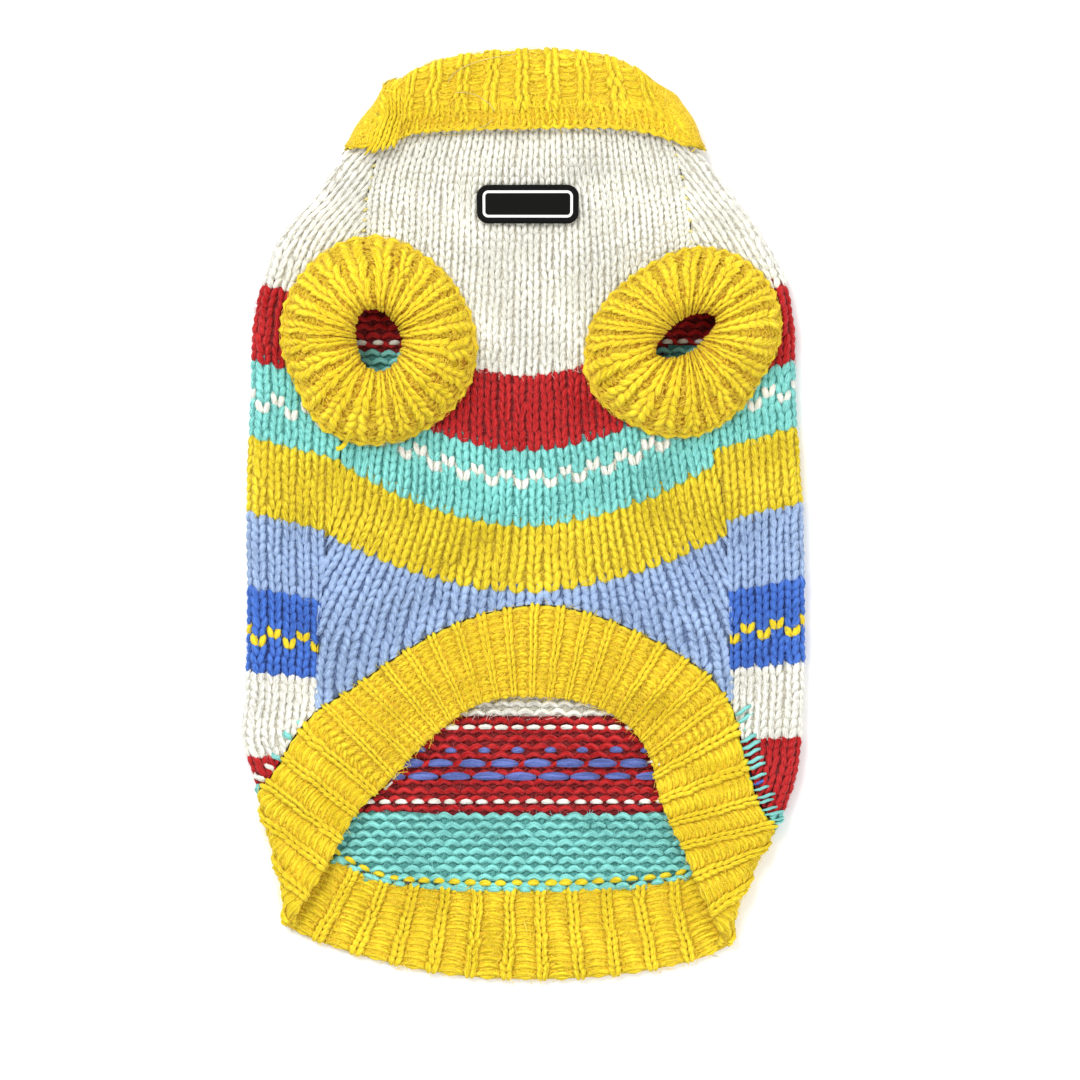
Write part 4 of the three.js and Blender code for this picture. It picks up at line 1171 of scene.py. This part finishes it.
def picked_up_loops(name, first, colour, seed):
    """Small loops along the seam of the back hem, seen on the inside."""
    loop = [([(-2.2, 0.35, -0.4), (-1.2, -0.1, 0.3), (0.0, -0.3, 0.55), (1.2, -0.1, 0.3), (2.2, 0.35, -0.4)],
             [0.6, 1.0, 1.15, 1.0, 0.6], 5, 0.9)]
    return knit(name, loop, PICKED_UP * RIBS_BACK, 1, picked_up_place, size=(1 / 6.2, 1 / 2.6), first=first, lift=1.7,
                keep=picked_up_keep, seed=seed, loose=0.05, dye=one_colour(colour))


back_hem_pieces += [picked_up_loops("back_hem_loops", (0.5, -0.75), "yellow", 27),
                    picked_up_loops("back_hem_teal_loops", (0.0, 0.1), "teal", 28)]

# Collar
COLLAR_RIBS = COLLAR_RIGHT_RIBS + COLLAR_LEFT_RIBS
COLLAR_ROW = 2.7


def collar_rows_place(station, row, out):
    return collar_place(station, row * COLLAR_ROW, out)


def collar_cloth_place(station, share, out):
    """Share 0..1 up the turned-down layer, 1..2 over the fold and 2..3 down the inner layer."""
    _, (edge_in, edge_y, fold_in, fold_y) = collar_at(station)
    length = np.hypot(fold_in - edge_in, fold_y - edge_y)
    bend = COLLAR_BEND * math.pi
    way = np.where(share < 1, share * length,
                   np.where(share < 2, length + (share - 1) * bend, length + bend + (share - 2) * length * 0.72))
    return collar_place(station, way, out)


collar_cloth = shell("collar_cloth", (0.0, COLLAR_RIBS, 189), (0, 3, 24), collar_cloth_place, middle=0.0,
                     thickness=2.0, rise=lambda u, v: 0.75 * rib_rise(u) * ease(2.2, 1.6, v) * ease(0.25, 0.45, v))
collar_ribs = knit("collar_ribs", knit_stitch(slant=0.4), COLLAR_RIBS, 11, collar_rows_place,
                   size=(0.52 / WALE, 1 / 3.0), first=(0.5, 3.3), lift=0.9, rise=lambda u, v: RIB_RISE + 0 * u,
                   seed=31, loose=0.05, relief=lambda u, v: 0.6 + 0 * u)
collar_valleys = knit("collar_valleys", ladder_rung(), COLLAR_RIBS + 1, 11, collar_rows_place,
                      size=(0.6 / 5.6, 1 / 2.5), first=(0.0, 3.3), lift=0.85, seed=32, loose=0.04)


def collar_edge_place(wale, row, out):
    return collar_rows_place(wale / 2.5, row, out)


def collar_chain_place(loop, row, out):
    return collar_rows_place(loop * COLLAR_RIBS / 62, row, out)


collar_loops = knit("collar_loops", knit_stitch(plump=0.92), int(COLLAR_RIBS * 2.5), 4, collar_edge_place,
                    first=(0.5, 0.6), lift=0.95, size=(0.95 / WALE, 1 / 3.0), seed=33, loose=0.06)
collar_chain = knit("collar_chain", edge_loop(), 62, 1, collar_chain_place, first=(0.5, 0.3), lift=1.0,
                    size=(1 / 3.6, 1 / 2.4), seed=34, loose=0.05)

# Sleeve cuffs
cuff_pieces = {}


def cuff_relief(station, row):
    """The stitches of a cuff flatten and sink where they crowd together in the hole."""
    return 0.3 + 0.7 * ease(13.0, 8.0, row) + 0 * station


def cuff_rise(station, row):
    return 1.5 * ease(0.0, 2.5, row) * ease(13.0, 8.5, row) - 0.5 + 0 * station


def cuff_core_rise(station, row):
    return (1.5 * rib_rise(station, 0.45) / RIB_RISE) * ease(0.0, 2.5, row) * ease(13.0, 8.5, row)


def cuff_shown(station, row):
    return row < 12.6


RIM_LOOPS = 40
for name, cuff, seed in (("left", CUFF_LEFT, 41), ("right", CUFF_RIGHT, 44)):
    place = cuff_place(cuff)

    def rim_place(loop, row, out, place=place):
        return place(loop * CUFF_RIBS / RIM_LOOPS, row, out)

    # The core's amber ground is a dark orange: painted shade in the grooves between the cuff's ribs.
    core = shell(f"cuff_{name}_cloth", (0, CUFF_RIBS, 110), (0, CUFF_ROWS, 26), place, middle=-0.9, thickness=1.6,
                 rise=cuff_core_rise, colour="amber")
    ribs = knit(f"cuff_{name}_ribs", knit_stitch(slant=0.85), CUFF_RIBS, CUFF_ROWS, place, seed=seed, lift=0.0,
                size=(0.8 / WALE, 1 / 3.1), rise=cuff_rise, relief=cuff_relief, keep=cuff_shown, loose=0.06)
    valleys = knit(f"cuff_{name}_valleys", ladder_rung(), CUFF_RIBS, CUFF_ROWS, place, size=(0.4 / 5.6, 1 / 2.6),
                   first=(0.0, 0.5), relief=cuff_relief, keep=cuff_shown, seed=seed + 1, loose=0.06, lift=-0.5)
    rim = knit(f"cuff_{name}_rim", rim_loop(), RIM_LOOPS, 1, rim_place, size=(1 / 3.6, 1 / 2.6), first=(0.5, 0.5),
               lift=0.1, seed=seed + 2, loose=0.06)
    cuff_pieces[name] = [core, ribs, valleys, rim]

# Seams that join the pieces
def between(first, second, bulge=0.6):
    """A strip from one piece's end to another's, given by what places their edges."""

    def place(across, row, out):
        share = np.clip(across, 0, 1)
        lift = bulge * np.sin(share * math.pi)
        return first(row, out + lift) * (1 - share)[..., None] + second(row, out + lift) * share[..., None]

    return place


def seam_stitches(name, rows, first, second):
    """A row of short lengths of yarn sewn across from one edge to the other."""
    across = [([(-2.3, 0.5, -0.4), (-1.1, 0.1, 0.25), (0.0, -0.2, 0.45), (1.1, 0.1, 0.25), (2.3, 0.5, -0.4)],
               [0.55, 0.8, 0.88, 0.8, 0.55], 5, 1.0)]
    return knit(name, across, 1, rows, between(first, second), size=(0.95 / 4.6, 1 / 2.2), lift=1.0, seed=52,
                loose=0.03, dye=one_colour("yellow"))


def seam_strip(name, rows, first, second, *, start=0.1, bulge=0.6):
    """The cloth under a seam, from one edge to the other."""
    return shell(name, (0, 1, 3), (start, rows, 12), between(first, second, bulge), middle=0.0, thickness=2.0)


HEM_ENDS = {
    "left": (lambda v, w: belly_hem_place(0.15 + 0 * v, v, w), lambda v, w: back_hem_place(0.15 + 0 * v, v, w)),
    "right": (lambda v, w: belly_hem_place(BELLY_HEM_RIBS - 0.15 + 0 * v, v, w),
              lambda v, w: back_hem_place(RIBS_BACK - 0.15 + 0 * v, v, w)),
}
hem_joins = []
for name, (first_end, second_end) in HEM_ENDS.items():
    hem_joins.append(seam_strip(f"hem_join_{name}_cloth", HEM_ROWS, first_end, second_end))
    hem_joins.append(seam_stitches(f"hem_join_{name}", HEM_ROWS, first_end, second_end))
COLLAR_ENDS = (lambda v, w: collar_rows_place(0.35 + 0 * v, v, w),
               lambda v, w: collar_rows_place(COLLAR_RIBS - 0.4 + 0 * v, v, w))


def join_columns(count):
    """Columns of stitches side by side over the collar's join."""
    strip = between(*COLLAR_ENDS, 1.6)
    return lambda column, row, out: strip(column / count, row, out)


collar_joins = [
    seam_strip("collar_join_cloth", 12.5, *COLLAR_ENDS, start=-0.7, bulge=1.2),
    knit("collar_join", knit_stitch(), 3, 14, join_columns(3), size=(0.98 / WALE, 1 / 2.9), first=(0.5, -0.5),
         lift=1.1, seed=54, loose=0.03),
]


def float_place(first, pitch):
    def place(strand, row, out):
        return back_hem_place(first + strand * pitch, row, out)

    return place


def float_dye(colours, seed):
    rng = np.random.default_rng(seed)
    return lambda u, v: np.array([DYE_ORDER.index(c) for c in rng.choice(colours, len(u))])


def seam_floats(name, first, pitch, count, colours, seed, plump=1.0, start=-0.75):
    """Strands of other colours that show beside the hem, where its stitches are picked up."""
    path = [(0.0, -2.3, -0.6), (0.2, -0.9, 0.2), (-0.1, 0.7, 0.3), (0.1, 2.2, -0.6)]
    strand = [([(x * plump, y * plump, z) for x, y, z in path], [r * plump for r in (0.35, 0.55, 0.55, 0.35)], 5, 1.0)]
    return knit(name, strand, count, 1, float_place(first, pitch), size=(1 / 3.0, 1 / 2.6), first=(0.5, start),
                lift=1.9, seed=seed, loose=0.28, dye=float_dye(colours, seed))


right_seam_floats = seam_floats("right_seam_floats", 12.4, 0.21, 55, ["teal"] * 6 + ["royal"], 59, 1.35, -1.0)
left_seam_floats = seam_floats("left_seam_floats", 0.3, 0.5, 6, ["teal", "teal", "cream"], 58, 0.9)


def side_seam(side, name, seed):
    """The join of belly and flap: a thread that draws both edges together."""
    rows = 52

    def edge(offset):
        def place(row, out):
            y = 132.0 - row * (196.0 / rows)
            inward = np.abs(fold_at(side, y) - seam_at(side, y)) + offset
            return laid(side, inward, y, out)

        return place

    def keep(u, v):
        point = edge(0.0)(v, 0.0)
        near_cuff = np.any([np.hypot(point[..., 0] - c["x"], point[..., 1] - c["y"]) < 27 for c in
                            (CUFF_LEFT, CUFF_RIGHT)], axis=0)
        return ~near_cuff & (point[..., 1] > 90.0)

    across = [([(-0.7, 0.4, -0.4), (0.0, 0.0, 0.1), (0.7, -0.4, -0.4)], [0.36, 0.52, 0.36], 4, 1.0)]
    return knit(name, across, 1, rows, between(edge(-1.5), edge(1.5), 0.0), size=(1 / 3.0, 1 / 3.6), lift=1.35,
                seed=seed, keep=keep, dye=one_colour("thread"))


side_seam_left = side_seam(-1, "side_seam_left", 55)
side_seam_right = side_seam(1, "side_seam_right", 56)

# Loose fibres of the brushed yarn


def fuzz(name, count, place, across, down, pitch, *, lift=1.6, keep=None, dye=None, seed=61, longer=1.0):
    """Fibres scattered over a knit, each turned its own way. pitch is the size of a wale and a row in mm."""
    unit = unit_mesh(name + "_unit", fibre(), (1.0, 1.0))
    per_vertex, per_face = len(unit.vertices), len(unit.polygons)
    rng = np.random.default_rng(seed)
    wale, row = rng.uniform(*across, count), rng.uniform(*down, count)
    if keep is not None:
        kept = keep(wale, row)
        wale, row = wale[kept], row[kept]
    count = len(wale)
    obj = repeat(name, unit, count, 1, (0.0, 0.0))
    mesh = obj.data
    flat = points_of(mesh)
    which = np.repeat(np.arange(count), per_vertex)
    flat[:, 0] -= which
    turn, length = rng.uniform(0, 2 * math.pi, count), rng.uniform(0.6, 1.5, count) * longer
    bend = rng.normal(0, 0.5, count)
    x = flat[:, 0] * length[which]
    y = flat[:, 1] * length[which] + bend[which] * (flat[:, 0] / 1.6) ** 2
    cos, sin = np.cos(turn)[which], np.sin(turn)[which]
    u = wale[which] + (x * cos - y * sin) / pitch[0]
    v = row[which] + (x * sin + y * cos) / pitch[1]
    out = lift + flat[:, 2] * (0.6 + 0.5 * rng.uniform(0, 1, count))[which]
    put_points(mesh, place(u, v, out))
    for colour in (DYE_ORDER if dye is not None else ["yellow"]):
        mesh.materials.append(FLUFF[colour])
    if dye is not None:
        mesh.polygons.foreach_set("material_index", np.repeat(dye(wale, row), per_face).astype(np.int32))
    mesh.polygons.foreach_set("use_smooth", np.ones(len(mesh.polygons), bool))
    bpy.data.meshes.remove(unit)
    return obj


belly_fuzz = fuzz("belly_fuzz", 5200, belly_place, (0, BELLY_WALES), (0, 62), (WALE, ROW),
                  keep=belly_keep(0.8, 0.0), dye=belly_dye, seed=61, longer=0.65)


def flap_fuzz(side, name, seed):
    def keep(wale, row):
        inward = wale * WALE - FLAP_START
        y, _ = flap_y(inward, row)
        return (inward < np.abs(fold_at(side, y) - seam_at(side, y))) & (y > hem_seam_y(side, inward))

    return fuzz(name, 1800, flap_place(side), (0.8, 7.5), (0, 72), (WALE, ROW), keep=keep, seed=seed, longer=0.65,
                dye=lambda u, v: flap_dye_at(side, BACK_TOP - v * ROW, u, np.floor(v)))


flap_fuzz_left = flap_fuzz(-1, "left_flap_fuzz", 68)
flap_fuzz_right = flap_fuzz(1, "right_flap_fuzz", 69)
inside_at = inside_place(INSIDE_LEFT, INSIDE_TOP)
inside_fuzz = fuzz("inside_fuzz", 2300, inside_at, (5, 23), (3, 25), (INSIDE_WALE, INSIDE_ROW), lift=1.8,
                   keep=above_hem(inside_at, 1.0), dye=inside_dye(INSIDE_TOP), seed=70, longer=0.7)
belly_hem_fuzz = fuzz("belly_hem_fuzz", 2400, belly_hem_place, (0, BELLY_HEM_RIBS), (0, HEM_ROWS + 0.4), (9.8, 2.5),
                      lift=1.9, seed=62)
back_hem_fuzz = fuzz("back_hem_fuzz", 1100, back_hem_place, (0, RIBS_BACK),
                     (0, HEM_ROWS + 0.4), (12.0, 2.6), lift=2.1, seed=63, keep=hem_face_keep(True))
back_hem_inner_fuzz = fuzz("back_hem_inner_fuzz", 2400, lambda u, v, w: back_hem_place(u, v, -w), (0, RIBS_BACK),
                           (0, HEM_ROWS + 0.4), (12.0, 2.6), lift=2.1, seed=64, keep=hem_face_keep(False))
collar_fuzz = fuzz("collar_fuzz", 3400, collar_rows_place, (0, COLLAR_RIBS), (-0.3, 12.5), (9.6, 2.7), lift=2.1,
                   seed=65)


def cuff_fuzz_keep(station, row):
    """Fewer fibres where the ribs crowd together in the hole."""
    return np.mod(station * 7.31, 1.0) > ease(6.5, 11.5, row)


for name, cuff, seed in (("left", CUFF_LEFT, 66), ("right", CUFF_RIGHT, 67)):
    cuff_pieces[name].append(fuzz(f"cuff_{name}_fuzz", 4600, cuff_place(cuff), (0, CUFF_RIBS), (-0.2, 10.0),
                                  (7.0, 3.1), lift=1.2, seed=seed, longer=1.0, keep=cuff_fuzz_keep))


# Loose threads and yarn ends
def surface_of(*objects):
    """Finds the height of the top surface of some objects, in millimetres, at a place of the photograph."""
    trees = []
    for obj in objects:
        bm = bmesh.new()
        bm.from_mesh(obj.data)
        trees.append(BVHTree.FromBMesh(bm))
        bm.free()

    def height(x, y):
        hits = [tree.ray_cast(Vector((x * MM, y * MM, 0.1)), Vector((0, 0, -1)))[0] for tree in trees]
        return max([hit.z / MM for hit in hits if hit is not None], default=3.0)

    return height


CAMERA_X, CAMERA_Y = 4.91, -8.86  # mm, the middle of the photograph's frame
PHOTO_WIDTH = 1080  # pixels
PIXEL = 0.35  # mm


def photo_place(across, down):
    """Millimetres of the garment at a pixel of the photograph."""
    return CAMERA_X + (across - PHOTO_WIDTH / 2) * PIXEL, CAMERA_Y - (down - PHOTO_WIDTH / 2) * PIXEL


def loose_yarn(name, pixels, radius, height, colour, lift=0.25):
    numbers = np.arange(len(pixels), dtype=float)
    rows = {"at": numbers, "x": np.array([p[0] for p in pixels], float), "y": np.array([p[1] for p in pixels], float)}
    path = []
    for at in np.linspace(0, len(pixels) - 1, 6 * len(pixels)):
        x, y = photo_place(along(rows, "at", "x", at), along(rows, "at", "y", at))
        path.append((float(x) * MM, float(y) * MM, (height(float(x), float(y)) + lift) * MM))
    heights = np.array([p[2] for p in path])
    for _ in range(6):
        heights = np.maximum(heights, np.convolve(np.pad(heights, 1, "edge"), [0.25, 0.5, 0.25], "valid"))
    path = [(x, y, float(z)) for (x, y, _), z in zip(path, heights)]
    radii = [radius * MM * (0.6 if k in (0, len(path) - 1) else 1.0) for k in range(len(path))]
    bm = bmesh.new()
    yarn_tube(bm, path, radii, 6)
    bmesh.ops.recalc_face_normals(bm, faces=bm.faces)
    mesh = bpy.data.meshes.new(name)
    bm.to_mesh(mesh)
    bm.free()
    mesh.materials.append(YARN[colour])
    mesh.polygons.foreach_set("use_smooth", np.ones(len(mesh.polygons), bool))
    obj = bpy.data.objects.new(name, mesh)
    bpy.context.scene.collection.objects.link(obj)
    return obj


collar_top = surface_of(collar_ribs, collar_valleys, collar_loops, belly_stitches)
thread_high = loose_yarn("thread_over_collar", [(448, 84), (454, 75), (472, 65), (494, 59), (517, 55)], 0.13,
                         collar_top, "thread", 0.5)
thread_low = loose_yarn("thread_on_collar", [(454, 94), (468, 94), (481, 99), (492, 108), (494, 117), (487, 126),
                                             (472, 131), (454, 136), (437, 135)], 0.13, collar_top, "thread", 0.5)
cuff_side = surface_of(cuff_pieces["left"][1], cuff_pieces["left"][0], belly_stitches, flap_left)
cuff_end = loose_yarn("cuff_yarn_end", [(352, 430), (347, 440), (342, 447), (336, 449)], 0.95, cuff_side, "yellow")
cuff_strand = loose_yarn("cuff_yarn_strand", [(336, 432), (344, 435), (350, 441)], 0.4, cuff_side, "yellow", 0.6)
hem_side = surface_of(belly_hem_ribs, belly_hem_rungs, back_hem_cloth, inside_rear)
hem_end_left = loose_yarn("hem_yarn_end_left", [(392, 782), (388, 786), (384, 790)], 0.5, hem_side, "cream")
hem_end_right = loose_yarn("hem_yarn_end_right", [(660, 765), (653, 762), (647, 763)], 0.45, hem_side, "cream")

# Label
rubber = bpy.data.materials.new("label_rubber")
rubber.use_nodes = True
shader = rubber.node_tree.nodes["Principled BSDF"]
grain = node(rubber.node_tree, "ShaderNodeTexNoise", Scale=1800.0, Detail=2.0)
where = node(rubber.node_tree, "ShaderNodeTexCoord")
relief = node(rubber.node_tree, "ShaderNodeBump", Strength=0.12, Distance=0.0002)
rubber.node_tree.links.new(where.outputs["Object"], grain.inputs["Vector"])
rubber.node_tree.links.new(grain.outputs["Fac"], relief.inputs["Height"])
rubber.node_tree.links.new(relief.outputs["Normal"], shader.inputs["Normal"])
shader.inputs["Base Color"].default_value = (0.003, 0.003, 0.0028, 1)
shader.inputs["Roughness"].default_value = 0.6
shader.inputs["Specular IOR Level"].default_value = 0.08
print_white = bpy.data.materials.new("label_line")
print_white.use_nodes = True
print_white.node_tree.nodes["Principled BSDF"].inputs["Base Color"].default_value = (0.85, 0.85, 0.84, 1)
print_white.node_tree.nodes["Principled BSDF"].inputs["Roughness"].default_value = 0.5


def label_ring(bm, inset, height):
    """A rounded rectangle of vertices, from a circle whose quarters are moved apart."""
    corner = LABEL["corner"] - inset
    ring = bmesh.ops.create_circle(bm, cap_ends=False, segments=32, radius=corner)["verts"]
    for vertex in ring:
        vertex.co.x += math.copysign(LABEL["width"] / 2 - LABEL["corner"], vertex.co.x)
        vertex.co.y += math.copysign(LABEL["height"] / 2 - LABEL["corner"], vertex.co.y)
        vertex.co.z = height
    ring_set = set(ring)
    return [e for e in bm.edges if e.verts[0] in ring_set and e.verts[1] in ring_set]


def label_solid(name, profile, material, hollow=False):
    """Rounded rectangles joined one to the next, closed at both ends, or into a frame where it is hollow."""
    bm = bmesh.new()
    rings = [label_ring(bm, inset, height) for inset, height in profile]
    for one, other in zip(rings, rings[1:] + (rings[:1] if hollow else [])):
        bmesh.ops.bridge_loops(bm, edges=one + other)
    if not hollow:
        bmesh.ops.edgeloop_fill(bm, edges=rings[0])
        bmesh.ops.edgeloop_fill(bm, edges=rings[-1])
    bmesh.ops.recalc_face_normals(bm, faces=bm.faces)
    bmesh.ops.transform(bm, matrix=Matrix.Translation((LABEL["x"], LABEL["y"], 0)), verts=bm.verts)
    mesh = bpy.data.meshes.new(name)
    bm.to_mesh(mesh)
    bm.free()
    put_points(mesh, points_of(mesh))
    mesh.materials.append(material)
    obj = bpy.data.objects.new(name, mesh)
    bpy.context.scene.collection.objects.link(obj)
    return obj


label_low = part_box("label_patch")[0][2] / MM
label_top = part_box("label_patch")[1][2] / MM - 0.35
label_body = label_solid(
    "label_body",
    [(0.7, label_low), (0.15, label_low + 0.25), (0.0, label_low + 0.7), (0.05, label_top - 0.4),
     (0.25, label_top - 0.12), (0.6, label_top)],
    rubber,
)
line_low, line_high = label_top - 0.1, label_top + 0.3
label_edge = label_solid(
    "label_line",
    [(2.1, line_low), (2.1, line_high - 0.08), (2.18, line_high), (2.92, line_high), (3.0, line_high - 0.08),
     (3.0, line_low)],
    print_white,
    hollow=True,
)

# What each piece stands for
PIECES = {
    "back_panel": ("body_knit", back_cloth, [flap_left, flap_right, under_stitches, inside_rear, inside_left,
                                             inside_right, *inside_bits, side_seam_left, side_seam_right,
                                             right_seam_floats, left_seam_floats, flap_fuzz_left, flap_fuzz_right,
                                             inside_fuzz]),
    "belly_panel": ("body_knit", belly_cloth, [belly_stitches, belly_fuzz]),
    "hem_belly": ("rib_knit", belly_hem_cloth, [belly_hem_ribs, belly_hem_rungs, belly_hem_fuzz]),
    "hem_back": ("rib_knit", back_hem_cloth, [*back_hem_pieces, *hem_joins, back_hem_fuzz, back_hem_inner_fuzz,
                                              hem_end_left, hem_end_right]),
    "collar": ("rib_knit", collar_cloth, [collar_ribs, collar_valleys, collar_loops, collar_chain, *collar_joins,
                                         collar_fuzz, thread_high, thread_low]),
    "cuff_left": ("rib_knit", cuff_pieces["left"][0], [*cuff_pieces["left"][1:], cuff_end, cuff_strand]),
    "cuff_right": ("rib_knit", cuff_pieces["right"][0], cuff_pieces["right"][1:]),
    "label_patch": ("label_rubber", label_body, [label_edge]),
}
SHEETS = {
    "back_panel": ((0.257, 0.269), 0.0660, ["hem_back"]),
    "belly_panel": ((0.146, 0.206), 0.0240, ["back_cloth"]),
    "hem_belly": ((0.178, 0.031), None, ["back_cloth"]),
    "hem_back": ((0.290, 0.033), None, ["back_cloth"]),
    "collar": ((0.235, 0.056), None, ["back_cloth"]),
    "cuff_left": ((0.150, 0.044), None, ["belly_cloth"]),
    "cuff_right": ((0.150, 0.044), None, ["belly_cloth"]),
}
for node_name, (slot, base, extras) in PIECES.items():
    for piece in [base, *extras]:
        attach(piece, "root")
    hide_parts(node_name)

# Camera, light and floor
CAMERA_DISTANCE = 2500.0
camera = bpy.data.cameras.new("camera")
camera.sensor_width = 36.0
camera.lens = camera.sensor_width * CAMERA_DISTANCE / (PHOTO_WIDTH * PIXEL)
camera.clip_end = 20.0
camera_object = bpy.data.objects.new("camera", camera)
camera_object.location = (CAMERA_X * MM, CAMERA_Y * MM, (CAMERA_DISTANCE + 8.0) * MM)
bpy.context.scene.collection.objects.link(camera_object)
bpy.context.scene.camera = camera_object


def soft_light(name, at, size, power):
    light = bpy.data.lights.new(name, "AREA")
    light.shape = "DISK"
    light.size = size
    light.energy = power
    obj = bpy.data.objects.new(name, light)
    obj.location = at
    obj.rotation_euler = (-Vector(at)).to_track_quat("-Z", "Y").to_euler()
    bpy.context.scene.collection.objects.link(obj)


soft_light("key", (-0.6, 0.8, 1.3), 0.9, 20.0)
soft_light("fill", (0.9, -0.4, 1.1), 1.0, 7.0)

world = bpy.data.worlds.new("studio")
world.use_nodes = True
world.node_tree.nodes["Background"].inputs["Color"].default_value = (1.0, 1.0, 1.0, 1)
world.node_tree.nodes["Background"].inputs["Strength"].default_value = 0.78
bpy.context.scene.world = world
bpy.context.scene.view_settings.view_transform = "Standard"

bm = bmesh.new()
bmesh.ops.create_grid(bm, x_segments=1, y_segments=1, size=3.0)
floor_mesh = bpy.data.meshes.new("floor")
bm.to_mesh(floor_mesh)
bm.free()
paper = bpy.data.materials.new("floor_paper")
paper.use_nodes = True
paper.node_tree.nodes["Principled BSDF"].inputs["Base Color"].default_value = (0.96, 0.96, 0.96, 1)
paper.node_tree.nodes["Principled BSDF"].inputs["Roughness"].default_value = 0.9
floor_mesh.materials.append(paper)
floor = bpy.data.objects.new("floor", floor_mesh)
bpy.context.scene.collection.objects.link(floor)

for node_name, (flat, area, rests) in SHEETS.items():
    _, base, extras = PIECES[node_name]
